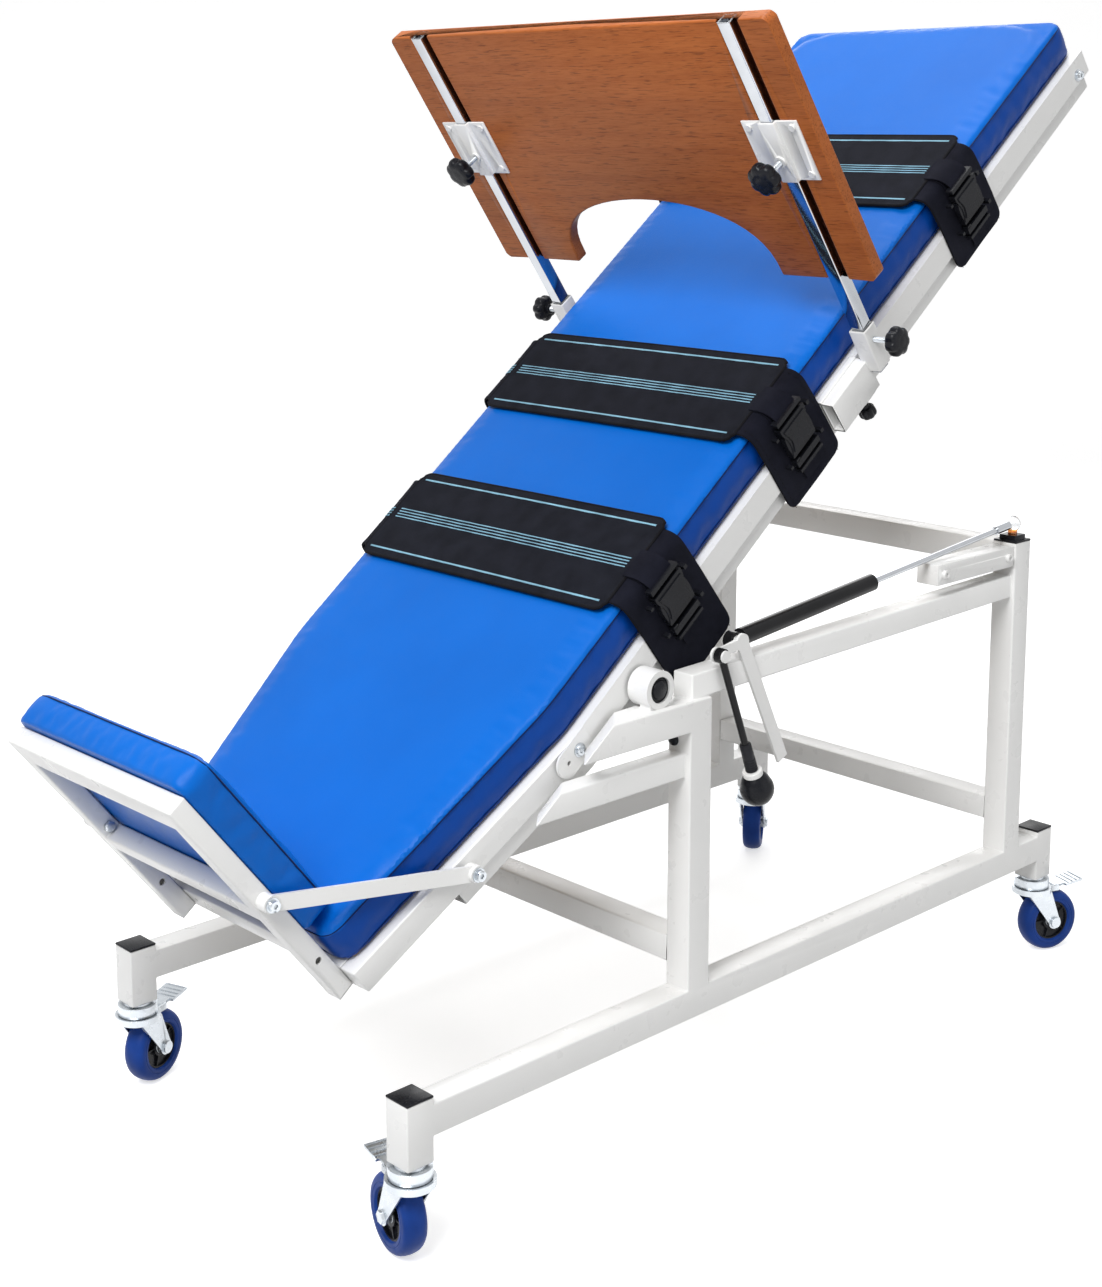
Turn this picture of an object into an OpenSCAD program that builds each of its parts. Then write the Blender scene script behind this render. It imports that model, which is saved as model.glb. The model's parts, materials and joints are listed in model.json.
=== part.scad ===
// Tilt table for physiotherapy, standing on four castors.
// X runs from the foot end to the head end, Y from the near side to the far side, Z up from the floor.

/* [Base frame] */
// Side of the square base tube
tube = 40; // [36:1:44]
// Wall of every frame tube
tube_wall = 2.5; // [2:0.5:3]
// Foot-end post to the origin
origin_x = 587; // [560:1:620]
// Rail's outer face to the inside of a side frame
frame_clear = 7; // [6.5:0.5:10]
// Foot-end post to the pivot upright
pivot_up_x = 472; // [460:1:480]
// Foot-end post to the rear upright
rear_up_x = 1196; // [1180:1:1210]
// Foot-end post to the head-end post
head_post_x = 1290; // [1280:1:1310]
// Height of a castor under its post
castor_h = 128; // [126:1:132]
// Length of a corner post
post_h = 80; // [76:1:90]
// Underside of the post to the underside of the lower rail
rail_lift = 32; // [28:1:36]
// Floor to the top of the pivot upright
pivot_up_top = 590; // [585:1:600]
// Floor to the top of the rear upright
rear_up_top = 690; // [680:1:700]
// Depth of the two low cross members
cross_h = 36; // [32:1:40]
// Low front cross member above the lower rail
front_cross_lift = 30; // [24:1:36]
// Low rear cross member above the lower rail
rear_cross_lift = 46; // [40:1:52]
// Length of the rail that carries the pivot
forward_len = 204; // [196:1:210]
// Width of the lower forward bar
bar_w = 30; // [28:1:32]
// Depth of the lower forward bar
bar_h = 32; // [28:1:36]
// Clear gap between the forward rail and the bar under it
bar_gap = 30; // [24:1:36]
// Section of the upper side rail
upper_tube = 34; // [30:1:34]
// Rise of the upper side rail toward the rear upright
upper_rise = 16; // [8:1:20]
// Thickness of plates closing tube ends
end_plate = 3; // [2:0.5:4]
// Thickness of a plastic end cap
cap_t = 3; // [2:0.5:4]
// Depth of a cap inside its tube
cap_plug = 12; // [8:1:16]
// Side of the stepped rear cap's upper block
step_w = 28; // [24:1:30]
// Height of the stepped rear cap's upper block
step_h = 7; // [6:1:10]
// Radius of the dome on the rear cap
dome_r = 12; // [10:1:13]

/* [Pivot] */
// Foot-end post to the tilt pivot
pivot_x = 404; // [400:1:408]
// Radius of the pivot bush
bush_r = 25; // [24:1:27]
// Length of the pivot bush
bush_len = 34; // [33:0.5:35]
// Bush set in from the outer face of the side frame
bush_inset = 9; // [8:0.5:9]
// Sink of the bush into a flat on the rail
bush_flat = 1; // [0.5:0.5:2]
// Radius of the pivot tube
journal_r = 17; // [15:0.5:18]
// Radial running clearance
run_gap = 0.06; // [0.04:0.01:0.08]
// Depth of the black plug in the bush
plug_depth = 6; // [5:0.5:8]
// Height of the plug's dome
plug_dome = 5; // [3:0.5:6]

/* [Table frame] */
// Tilt of the table above level as stored
tilt = 38.4; // [36:0.1:41]
// Pivot to the top of the side rails
rail_top = 36; // [34:1:38]
// Depth of the side rails
rail_h = 38; // [37:1:40]
// Width of the side rails
rail_w = 26; // [24:1:28]
// Half width over the side rails
half_w = 268; // [250:1:290]
// Rails' narrowing toward the foot on each side
foot_narrow = 62; // [56:1:68]
// Pivot to the foot end of the rails
foot_len = 500; // [490:1:510]
// Pivot to the head end of the rails
head_len = 1270; // [1260:1:1280]
// Pivot to the bend where the leg part narrows
knee_len = 118; // [112:1:124]
// Width of the beam under a side rail
beam_w = 30; // [28:1:32]
// Depth of the beam under a side rail
beam_h = 26; // [24:1:28]
// Beam set in from the rail's outer face
beam_inset = 7; // [7:0.5:9]
// Pivot to the foot end of the beams
beam_foot = 345; // [335:1:355]
// Beams set back from the head end of the rails
beam_back = 8; // [6:1:12]
// Width of a cross bar
bar_cross = 30; // [26:1:30]
// Pivot to the middle cross bar
mid_bar_s = 430; // [420:1:440]

/* [Pads] */
// Thickness of the plywood under the pad
board_t = 12; // [10:1:14]
// Plywood set in from the rails' outer faces
board_inset = 20; // [19:1:22]
// Depth of the pad's side
pad_t = 60; // [56:1:64]
// Pad set in from the rails' outer faces
pad_inset = 11; // [10:0.5:12]
// Height of the pad's crown
crown = 5; // [4:1:7]
// Corner radius of the pads
corner_r = 22; // [18:1:26]
// Gap between soft and hard pieces
soft_gap = 0.3; // [0.2:0.1:0.4]
// Thickness of the footboard's pad
foot_pad_t = 48; // [44:1:50]
// Pivot plane to the top of the footboard's pad
foot_pad_top = 384; // [378:1:388]
// Overhang of the footboard's pad past its frame
foot_pad_over = 4; // [2:1:5]

/* [Footboard] */
// Pivot plane to the top of the footboard's frame
foot_top = 368; // [360:1:374]
// Pivot plane to the foot of the footboard's frame
foot_low = 4; // [2:1:6]
// Thickness of the footboard's tubes
foot_t = 25; // [22:1:28]
// Width of the footboard's side tubes
foot_tube_w = 25; // [22:1:28]
// Depth of the footboard's middle bar
foot_mid_h = 25; // [22:1:28]
// Foot of the footboard's frame to its spare hole
spare_lift = 65; // [60:1:70]
// Radius of the spare hole
spare_r = 4.5; // [4:0.5:5]
// Depth of the tube between the rails' foot ends
foot_tie_w = 26; // [24:1:28]
// Depth of the footboard's top tube
foot_bar_h = 38; // [34:1:42]
// Pivot plane to the footboard's middle bar
foot_mid = 168; // [160:1:176]
// Width of a stay
stay_w = 20; // [18:1:22]
// Thickness of a stay
stay_t = 5; // [4:1:6]
// Radius of the bosses at a stay's ends
boss_r = 11; // [10.5:0.5:12]
// Pivot plane to the stay's bolt on the footboard
stay_foot_up = 190; // [184:1:196]
// Pivot to the stay's bolt on the rail
stay_rail_s = 320; // [314:1:326]
// Pivot plane to the stay's bolt on the rail
stay_rail_up = 13; // [12:1:16]
// Height of the bosses off the footboard's tube
boss_len = 8; // [8:0.5:10]
// Radius of a bolt's shank
bolt_r = 4; // [3.5:0.5:4]
// Radius of a bolt's head
bolt_head_r = 6.5; // [6:0.5:7]
// Height of a bolt's head
bolt_head_h = 6; // [5:0.5:8]
// Radius of a washer
washer_r = 9; // [8.5:0.5:10]
// Thickness of a washer
washer_t = 1.6; // [1.2:0.2:2]
// Clearance round bolts and plugs
fit_gap = 0.1; // [0.08:0.02:0.2]

/* [Tray] */
// Pivot to the tray's posts at the table
post_s = 578; // [574:1:584]
// Lean of the posts toward the head
post_lean = 3; // [1:0.5:5]
// Rail's outer face to a post's middle
post_off = 28; // [27.5:0.5:29]
// Side of a chrome post
post_w = 20; // [18:1:20]
// Wall of a chrome post
post_wall = 1.5; // [1.5:0.5:2]
// Pivot plane to the post's lower end
post_low = 14; // [12:1:16]
// Pivot plane to the post's upper end
post_top = 578; // [570:1:590]
// Wall of the socket round a post
socket_wall = 3.3; // [3:0.1:3.4]
// Gap between a post and its socket
socket_gap = 0.2; // [0.1:0.05:0.3]
// Pivot plane to the socket's lower end
socket_low = 18; // [16:1:19]
// Pivot plane to the socket's upper end
socket_top = 88; // [84:1:94]
// Length of the clamp along the rail
clamp_len = 94; // [90:1:94]
// Width of the clamp's box
clamp_w = 22; // [20:1:24]
// Clamp's box below the pivot plane
clamp_low = 14; // [12:1:14]
// Wall of the clamp's box
clamp_wall = 3; // [2.5:0.5:3]
// Gap between the clamp and the rail
clamp_gap = 0.5; // [0.3:0.1:0.7]
// Reach of the clamp's lip over the rail
lip_reach = 7; // [5:0.5:8]
// Reach of the clamp's tab under the beam
tab_reach = 24; // [22:1:26]
// Width of the clamp's tab
tab_w = 24; // [22:1:26]
// Post's middle to the tray's side
tray_over = 66; // [60:1:74]
// Tray's lower edge up the posts
tray_low = 172; // [166:1:180]
// Thickness of the tray
tray_t = 20; // [18:1:22]
// Post's middle to the tray's near face
tray_face = 4; // [3:1:5]
// Width of the groove that a post lies in
groove_w = 34; // [30:1:38]
// Gap between a post and the groove's floor
groove_gap = 0.3; // [0.2:0.1:0.5]
// Post's middle to the side of the body cut-out
cut_in = 96; // [90:1:102]
// Depth of the body cut-out
cut_depth = 122; // [114:1:128]
// Corner radius of the tray
tray_r = 14; // [10:1:18]
// Bracket's lower edge up the posts
bracket_low = 338; // [330:1:346]
// Height of a tray bracket
bracket_h = 92; // [86:1:96]
// Half width of a tray bracket
bracket_half = 46; // [42:1:50]
// Thickness of a tray bracket
bracket_t = 3; // [2.5:0.5:4]
// Gap between a bracket and its post
bracket_gap = 0.3; // [0.2:0.1:0.4]

/* [Knobs] */
// Radius of the tray's knobs
knob_r = 24; // [22:1:25]
// Radius of the knobs on the sockets
socket_knob_r = 21; // [19:1:22]
// Radius of the knobs under the clamps
clamp_knob_r = 13; // [12:0.5:13]
// Number of lobes on a knob
knob_lobes = 7; // [6:1:8]
// Radius of a knob's stud
stud_r = 4; // [3.5:0.5:4]
// Radius of the small stud under a clamp
small_stud_r = 3; // [2.5:0.5:3]
// Bare length of a large knob's stud
stud_len = 26; // [22:1:28]
// Depth of a knob
knob_h = 20; // [18:1:22]

/* [Gas spring] */
// Foot-end post to the spring's eye
eye_x = 552; // [548:1:556]
// Floor to the spring's eye
eye_z = 650; // [648:1:654]
// Floor to the dome that the rod seats on
seat_z = 716; // [712:1:720]
// Radius of the spring's cylinder
cyl_r = 12; // [11:0.5:12.5]
// Length of the spring's cylinder
cyl_len = 296; // [286:1:300]
// Radius of the spring's rod
rod_r = 4.5; // [4:0.5:5]
// Rod's length inside the cylinder
rod_in = 60; // [50:1:64]
// Radius of the rod's end sleeve
ferrule_r = 6.5; // [6:0.5:7]
// Length of the rod's end sleeve
ferrule_len = 34; // [28:1:40]
// Radius of the spring's eye
eye_r = 12; // [11:0.5:13]
// Radius of the pin through the eye
pin_r = 5; // [4:0.5:5]
// Width of the spring's eye
eye_w = 14; // [12:1:14]

/* [Release lever] */
// Thickness of the lever's fixed plate
plate_t = 4; // [3:0.5:4]
// Width of the lever's fixed plate
plate_w = 20; // [18:1:22]
// Length of the lever's fixed plate
plate_len = 196; // [186:1:204]
// Slope of the fixed plate from upright
plate_lean = 26; // [24:1:28]
// Slope of the lever's rod from upright
lever_lean = 21; // [19:1:23]
// Lever's pin set off from the spring's eye
lever_back = 50; // [46:1:52]
// Lever's pin below the spring's eye
lever_drop = 7; // [5:1:9]
// Length of the lever's rod
lever_len = 172; // [164:1:180]
// Radius of the lever's rod
lever_r = 5; // [4:0.5:5]
// Radius of the lever's ball grip
grip_r = 23; // [21:0.5:24]

/* [Castors] */
// Radius of a wheel
wheel_r = 50; // [48:1:51]
// Width of a wheel
wheel_w = 32; // [30:1:34]
// Radius of a wheel's hub
hub_r = 31; // [29:1:33]
// Depth of the recess in a wheel's face
hub_dip = 4; // [3:0.5:5]
// Trail of a wheel behind its stem
trail = 32; // [30:1:34]
// Radius of an axle
axle_r = 5; // [4.5:0.5:5]
// Gap between a wheel and its fork
fork_gap = 3; // [2:0.5:3]
// Thickness of a fork's leg
fork_t = 3; // [2.5:0.5:3.5]
// Radius of the swivel head
head_r = 31; // [30:0.5:32]
// Depth of the turning head
head_h = 9; // [8:0.5:9]
// Radius of the fixed swivel cup
cup_r = 27; // [26:0.5:28]
// Radius of the king pin
king_r = 6; // [5.5:0.5:6]
// Gap between turning and fixed swivel parts
swivel_gap = 0.5; // [0.4:0.1:0.8]
// Length of a brake pedal
pedal_len = 50; // [46:1:52]
// Width of a brake pedal
pedal_w = 36; // [34:0.5:36]
// Thickness of a brake pedal
pedal_t = 4; // [3:0.5:4]
// Turn of the near foot-end castor
turn_a = 78; // [60:1:100]
// Turn of the far foot-end castor
turn_b = 20; // [0:1:40]
// Turn of the near head-end castor
turn_c = -20; // [-40:1:0]
// Turn of the far head-end castor
turn_d = 35; // [20:1:50]

/* [Belts] */
// Pivot to the middle of the lowest belt
belt_1 = 106; // [104:1:110]
// Pivot to the middle of the middle belt
belt_2 = 410; // [408:1:414]
// Pivot to the middle of the upper belt
belt_3 = 892; // [884:1:900]
// Width of a belt's padded part
belt_w = 160; // [154:1:166]
// Width of a belt's hanging flap
flap_w = 128; // [110:1:130]
// Thickness of a belt
belt_t = 3; // [2:0.5:3]
// Lowest belt's flap below the pivot plane
flap_low_1 = 68; // [54:1:70]
// Middle belt's flap below the pivot plane
flap_low_2 = 40; // [30:1:60]
// Upper belt's flap below the pivot plane
flap_low_3 = 30; // [20:1:60]
// Far end of a belt below the pivot plane
far_low = 4; // [0:1:20]
// Rail's outer face to the seam between pad and flap
seam_in = 24; // [22:1:30]
// Width of the webbing
web_w = 46; // [42:1:50]
// Thickness of the webbing
web_t = 2; // [1.5:0.5:2]
// Length of a buckle
buckle_len = 92; // [80:1:94]
// Width of a buckle
buckle_w = 58; // [52:1:62]
// Thickness of a buckle
buckle_t = 13; // [11:1:13]
// Pivot plane to the middle of a buckle
buckle_n = 46; // [44:1:50]

/* [Hidden] */
// Facets of round parts
facets = 64;
// Overshoot of cutting bodies
over = 1;
// Steps along a rounded corner
corner_steps = 4;
// Steps along the tray's cut-out
cut_steps = 28;
// Thickness of the plate that closes the foot of a post
post_plate = 5;
// Thickness of the flange on a castor's stem
flange_t = 3;
// Radius of the flange on a castor's stem
flange_r = 19;
// Height of the fixed swivel cup
cup_h = 14.5;
// Radius of the head under the swivel
king_head_r = 11;
// Height of the head under the swivel
king_head_h = 2.5;
// Width over the nut on a castor's stem
stem_nut_r = 11;
// Height of the nut on a castor's stem
stem_nut_h = 8;
// Radius of the boss round an axle
axle_boss_r = 11;
// Radius of an axle's heads
axle_head_r = 8.5;
// Height of an axle's heads
axle_head_h = 4;
// Radius of a wheel's middle boss
wheel_boss_r = 10;
// Depth of the bevel at a tyre's edge
tyre_bevel = 7;
// Swivel's axis to the pedal's pin
pedal_x = 38;
// Radius of the pedal's pin
pedal_pin_r = 2.5;
// Radius of the pedal's barrel
pedal_barrel_r = 4.5;
// Half width of the pedal's barrel
pedal_half = 13.5;
// Thickness of the ears that hold the pedal's pin
ear_t = 3;
// Upward slope of a pedal
pedal_rise = 8;
// Height of the ribs on a pedal
rib_h = 1.5;
// Pitch of the ribs on a pedal
rib_pitch = 8;
// Number of ribs on a pedal
rib_count = 4;
// Foot end of the lower forward bar ahead of the rail
bar_ahead = 60;
// Mitre of the forward rail and bar in elevation
mitre_down = 42;
// Mitre of the forward rail and bar in plan
mitre_in = 46;
// Forward rail's lower outer edge to the mitre
mitre_off = 11;
// Foot end of the upper rail ahead of its upright's head side
upper_lap = 32;
// Radius of the neck under the dome
neck_r = 7;
// Radius of the buffer inside the far rear upright
buffer_r = 14;
// Height of the buffer inside the far rear upright
buffer_h = 10;
// Floor to the buffer inside the far rear upright
buffer_z = 577;
// Radius of the small buffer between the forward rail and bar
small_buffer_r = 8;
// Length of the saddle under the bush
saddle_len = 34;
// Thickness of the saddle under the bush
saddle_t = 20;
// Foot end of the rear arm from its upright
arm_len = 195;
// Rear arm under the top of its upright
arm_drop = 4;
// Depth of the rear arm
arm_h = 31;
// Width of the rear arm
arm_w = 37;
// Rear arm's outer face past the rail's
arm_out = 3;
// Bolts of the rear arm from its ends
arm_bolt_in = 16;
// Length of the rounded lap at the knee
lap_len = 46;
// Thickness of the rounded lap at the knee
lap_t = 1.5;
// Knee bolt from the bend toward the foot
knee_bolt_back = 4;
// Knee's small hole from its bolt
lap_hole_off = 22;
// Radius of the knee's small hole
lap_hole_r = 3;
// Head bolt from the head end of the rails
head_bolt_in = 31;
// Head bolt above the underside of the rail
head_bolt_lift = 9;
// Radius over the corners of a nut
nut_r = 7.5;
// Height of a nut
nut_h = 6;
// Radius of the socket in a bolt's head
key_r = 3;
// Depth of the socket in a bolt's head
key_dip = 3;
// Height of the low head at the knee
low_head_h = 3;
// Number of sides of keys and nuts
hex_sides = 6;
// Height of the socket knob up its post
socket_knob_m = 66;
// Height of the tray's knobs over the brackets' lower edge
bracket_knob_lift = 34;
// Tab's underside below the pivot plane
tab_low = 34;
// Radius of a screw in a tray bracket
screw_r = 2.5;
// Radius of a screw's head in a tray bracket
screw_head_r = 5;
// Height of a screw's head in a tray bracket
screw_head_h = 2.5;
// Screws of a tray bracket from its edges
screw_in = 10;
// Bare length of the stud under a clamp
clamp_stud_len = 15;
// Height of the knob under a clamp
clamp_knob_h = 18;
// Radius of a knob's neck
knob_neck_r = 8;
// Length of a knob's neck
knob_neck_len = 6;
// Radius of a scallop as a share of its knob
scallop_share = 0.26;
// Circle of the scallops as a share of a knob's radius
scallop_ring_share = 1.12;
// Core of a knob as a share of its radius
knob_core_share = 0.72;
// Gap between the spring's rod and the dome
seat_gap = 0.8;
// Width of the lever's boss
lever_boss_w = 11;
// Radius of the lever's boss
lever_boss_r = 10;
// Radius of the lever's lower sleeve
sleeve_r = 8.5;
// Length of the lever's lower sleeve
sleeve_len = 42;
// Radius of the lever's ring
ring_r = 13.5;
// Thickness of the lever's ring
ring_t = 8;
// Radius of a pin's head
pin_head_r = 8;
// Thickness of a pin's head
pin_head_t = 3;
// Side play of a turning eye
side_play = 0.5;
// Bulge of a pad's side
bulge = 1;
// Gap between a belt and the pad
belt_ease = 3;
// Thickness of a belt's padded part
belt_pad_t = 5;
// Radius of a belt's corners
belt_r = 16;
// Length that the webbing laps over the padded part
web_lap = 8;
// Radius of the teeth grips in a buckle
grip_cut_r = 22;
// Depth of the side grips in a buckle
grip_cut = 5;
// Lower end of the footboard's pad over the main pad
foot_pad_lift = 6;
// Main pad short of the footboard's frame
pad_short = 6;
// Plywood short of the pad's ends
board_short = 14;
// Levels of a pad's rings as shares of its side and crown
level_shares = [0, 0.1, 0.45, 0.85, 1];
crown_shares = [0.5, 0.8, 1];
// Insets of a pad's rings as shares of the bulge and corner
inset_shares = [2, 0.6, -1, 0.6, 3];
crown_in_shares = [0.45, 1.4, 3.6];
// Belt's way over the pad's shoulder as shares of the corner radius
shoulder_shares = [[-0.59, 0.32], [-0.14, 0.255], [0.18, 0.045], [0.39, -0.32]];
// Cut-out's outline power
cut_power = 0.75;

side_y = half_w + frame_clear + tube / 2;
post_y = half_w + post_off;
foot_half = half_w - foot_narrow;
belt_seam = half_w - seam_in;
tray_half = post_y + tray_over;
cut_half = post_y - cut_in;
pivot_z = pivot_up_top + bush_r - bush_flat;
rail_low = rail_top - rail_h;
taper_slope = (half_w - foot_half) / (foot_len - knee_len);
pad_low = rail_top + soft_gap;
pad_half = half_w - pad_inset;
pad_edge_n = rail_top + pad_t;
fork_top = castor_h - flange_t - cup_h - swivel_gap;
fork_low = fork_top - head_h;
fork_in = wheel_w / 2 + fork_gap;
lower_rail_z = castor_h + rail_lift;
post_top_z = castor_h + post_h;
frame_out = side_y + tube / 2;
frame_in = side_y - tube / 2;
upper_slope = upper_rise / (rear_up_x - pivot_up_x - tube);
bush_out = frame_out - bush_inset;
bush_in = bush_out - bush_len;
ball_z = seat_z;
spring_run = rear_up_x - eye_x;
spring_rise = ball_z - eye_z;
spring_len = sqrt(spring_run * spring_run + spring_rise * spring_rise);
spring_lean = atan(spring_rise / spring_run);
foot_half_out = foot_half - rail_w;
stay_run = foot_len + foot_t / 2 - stay_rail_s;
socket_out = post_w + 2 * socket_gap + 2 * socket_wall;
board_x = tray_face - 2 * tray_face;
groove_x = post_w / 2 + groove_gap;
hat_x = post_w / 2 + bracket_gap;
bar_top_z = pivot_up_top - tube - bar_gap;
plate_y = frame_in + upper_tube;

// Frames of reference

module base() {
  translate([-origin_x, 0, 0])
    children();
}

module table() {
  translate([pivot_x - origin_x, 0, pivot_z])
    rotate([0, -tilt, 0])
      children();
}

module tray() {
  table()
    translate([post_s, 0, 0])
      rotate([0, post_lean, 0])
        children();
}

module across(far) {
  if (far)
    mirror([0, 1, 0])
      children();
  else
    children();
}

module box(x0, x1, y0, y1, z0, z1) {
  translate([x0, y0, z0])
    cube([x1 - x0, y1 - y0, z1 - z0]);
}

module rod_y(r, y0, y1) {
  translate([0, y0, 0])
    rotate([-90, 0, 0])
      cylinder(r = r, h = y1 - y0, $fn = facets);
}

module hex_y(r, y0, y1) {
  translate([0, y0, 0])
    rotate([-90, 0, 0])
      cylinder(r = r, h = y1 - y0, $fn = hex_sides);
}

// Base frame

module bent_rail(inset) {
  low = pivot_up_top + inset;
  foot = pivot_up_x + tube / 2 - upper_lap + inset;
  drop = (foot - pivot_up_x - tube / 2) * upper_slope;
  translate([0, -frame_in - inset, 0])
    rotate([90, 0, 0])
      linear_extrude(upper_tube - 2 * inset)
        polygon([[foot, low], [pivot_up_x + tube / 2, low],
          [rear_up_x, low + upper_rise + tube / 2 * upper_slope],
          [rear_up_x, low + upper_rise + tube / 2 * upper_slope
            + upper_tube - 2 * inset],
          [foot, low + drop + upper_tube - 2 * inset]]);
}

module forward_bars(inset) {
  x0 = pivot_up_x - tube / 2 - forward_len;
  difference() {
    union() {
      box(x0 + inset, pivot_up_x, -frame_out + inset, -frame_in - inset,
        pivot_up_top - tube + inset, pivot_up_top - inset);
      box(x0 - bar_ahead + inset, pivot_up_x, -frame_in - bar_w + inset,
        -frame_in - inset, bar_top_z - bar_h + inset, bar_top_z - inset);
    }
    translate([x0 + mitre_off, -frame_out, pivot_up_top - tube])
      rotate([0, mitre_down, -mitre_in])
        box(-forward_len, inset, -forward_len, forward_len, -forward_len,
          forward_len);
  }
}

module side_solid() {
  box(-tube / 2, tube / 2, -frame_out, -frame_in, castor_h, post_top_z);
  box(head_post_x - tube / 2, head_post_x + tube / 2, -frame_out, -frame_in,
    castor_h, post_top_z);
  box(0, head_post_x, -frame_out, -frame_in, lower_rail_z,
    lower_rail_z + tube);
  box(pivot_up_x - tube / 2, pivot_up_x + tube / 2, -frame_out, -frame_in,
    lower_rail_z, pivot_up_top);
  box(rear_up_x - tube / 2, rear_up_x + tube / 2, -frame_out, -frame_in,
    lower_rail_z, rear_up_top);
  forward_bars(0);
  bent_rail(0);
  translate([pivot_x, 0, pivot_z])
    rod_y(bush_r, -bush_out, -bush_in);
  box(pivot_x - saddle_len / 2, pivot_x + saddle_len / 2,
    -side_y - saddle_t / 2, -side_y + saddle_t / 2, pivot_up_top - tube / 2,
    pivot_up_top + bush_r / 3);
}

module side_hollow() {
  w = tube_wall;
  box(-tube / 2 + w, tube / 2 - w, -frame_out + w, -frame_in - w,
    castor_h + post_plate, post_top_z + over);
  box(head_post_x - tube / 2 + w, head_post_x + tube / 2 - w, -frame_out + w,
    -frame_in - w, castor_h + post_plate, post_top_z + over);
  box(0, head_post_x, -frame_out + w, -frame_in - w, lower_rail_z + w,
    lower_rail_z + tube - w);
  box(pivot_up_x - tube / 2 + w, pivot_up_x + tube / 2 - w, -frame_out + w,
    -frame_in - w, lower_rail_z + w, pivot_up_top - w);
  box(rear_up_x - tube / 2 + w, rear_up_x + tube / 2 - w, -frame_out + w,
    -frame_in - w, lower_rail_z + w, rear_up_top + over);
  forward_bars(w);
  bent_rail(w);
  translate([pivot_x, 0, pivot_z])
    rod_y(journal_r + run_gap, -bush_out - over, -bush_in + over);
  for (x = [0, head_post_x])
    translate([x, -side_y, castor_h - over])
      cylinder(r = king_r + fit_gap, h = post_plate + 2 * over, $fn = facets);
}

module side_frame(far) {
  color([0.93, 0.93, 0.92])
    base()
      across(far)
        difference() {
          side_solid();
          side_hollow();
        }
}

module cross_tube(x0, x1, z0, z1) {
  w = tube_wall;
  color([0.93, 0.93, 0.92])
    base()
      difference() {
        box(x0, x1, -frame_in, frame_in, z0, z1);
        box(x0 + w, x1 - w, -frame_in - over, frame_in + over, z0 + w, z1 - w);
      }
}

module front_cross() {
  z = lower_rail_z + tube + front_cross_lift;
  cross_tube(pivot_up_x - tube / 2, pivot_up_x + tube / 2, z, z + cross_h);
}

module rear_cross_low() {
  z = lower_rail_z + tube + rear_cross_lift;
  cross_tube(rear_up_x - tube / 2, rear_up_x + tube / 2, z, z + cross_h);
}

module rear_cross_top() {
  cross_tube(rear_up_x - tube / 2, rear_up_x + tube / 2, rear_up_top - tube,
    rear_up_top);
}

module bush_plugs() {
  color([0.05, 0.05, 0.05])
    base() {
      buffers();
      for (far = [false, true])
        across(far)
          translate([pivot_x, -bush_out + plug_depth, pivot_z])
            rotate([90, 0, 0])
              rotate_extrude($fn = facets)
                polygon([[0, 0], [journal_r, 0], [journal_r, plug_depth / 2],
                  [journal_r * 0.75, plug_depth / 2],
                  [journal_r * 0.7, plug_depth / 2 + plug_dome * 0.5],
                  [journal_r * 0.45, plug_depth / 2 + plug_dome * 0.87],
                  [0, plug_depth / 2 + plug_dome]]);
    }
}

module cap_plate(z) {
  g = tube_wall + fit_gap;
  translate([0, 0, z]) {
    box(-tube / 2, tube / 2, -tube / 2, tube / 2, 0, cap_t);
    box(-tube / 2 + g, tube / 2 - g, -tube / 2 + g, tube / 2 - g, -cap_plug,
      cap_t);
  }
}

module post_caps() {
  color([0.06, 0.06, 0.06])
    base()
      for (x = [0, head_post_x], y = [-side_y, side_y])
        translate([x, y, 0])
          cap_plate(post_top_z);
}

module rear_caps() {
  top = rear_up_top + cap_t;
  color([0.06, 0.06, 0.06])
    base()
      for (y = [-side_y, side_y])
        translate([rear_up_x, y, 0]) {
          cap_plate(rear_up_top);
          box(-step_w / 2, step_w / 2, -step_w / 2, step_w / 2,
            rear_up_top, top + step_h);
          translate([0, 0, top])
            cylinder(r = neck_r, h = ball_z - top, $fn = facets);
          translate([0, 0, ball_z])
            sphere(r = dome_r, $fn = facets);
        }
}

module rear_arm() {
  x1 = rear_up_x - tube / 2;
  z1 = rear_up_top - arm_drop;
  y0 = plate_y + arm_out;
  w = tube_wall;
  color([0.93, 0.93, 0.92])
    base() {
      difference() {
        box(x1 - arm_len, x1, -y0, -y0 + arm_w, z1 - arm_h, z1);
        box(x1 - arm_len + w, x1 - w, -y0 + w, -y0 + arm_w - w,
          z1 - arm_h - over, z1 - w);
      }
      for (x = [x1 - arm_len + arm_bolt_in, x1 - arm_bolt_in])
        translate([x, 0, z1 - arm_h / 2])
          difference() {
            rod_y(bolt_head_r, -y0 - bolt_head_h, -y0 + w / 2);
            hex_y(key_r, -y0 - bolt_head_h - over,
              -y0 - bolt_head_h + key_dip);
          }
    }
}

module buffer(r) {
  h = buffer_h * r / buffer_r;
  rotate_extrude($fn = facets)
    polygon([[0, 0], [r, 0], [r, h * 0.3], [r * 0.85, h * 0.7],
      [r * 0.5, h * 0.93], [0, h]]);
}

module buffers() {
  translate([rear_up_x, frame_in, buffer_z])
    rotate([90, 0, 0])
      buffer(buffer_r);
  translate([pivot_up_x - tube / 2, -frame_in - bar_w / 3,
    bar_top_z + bar_gap / 2])
    rotate([0, -90, 0])
      buffer(small_buffer_r);
}

// Castors

function castor_x(i) = i < 2 ? 0 : head_post_x;
function castor_y(i) = i % 2 == 0 ? -side_y : side_y;
function castor_turn(i) = [turn_a, turn_b, turn_c, turn_d][i];

module castor(i) {
  base()
    translate([castor_x(i), castor_y(i), 0])
      rotate([0, 0, castor_turn(i)])
        children();
}

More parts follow.
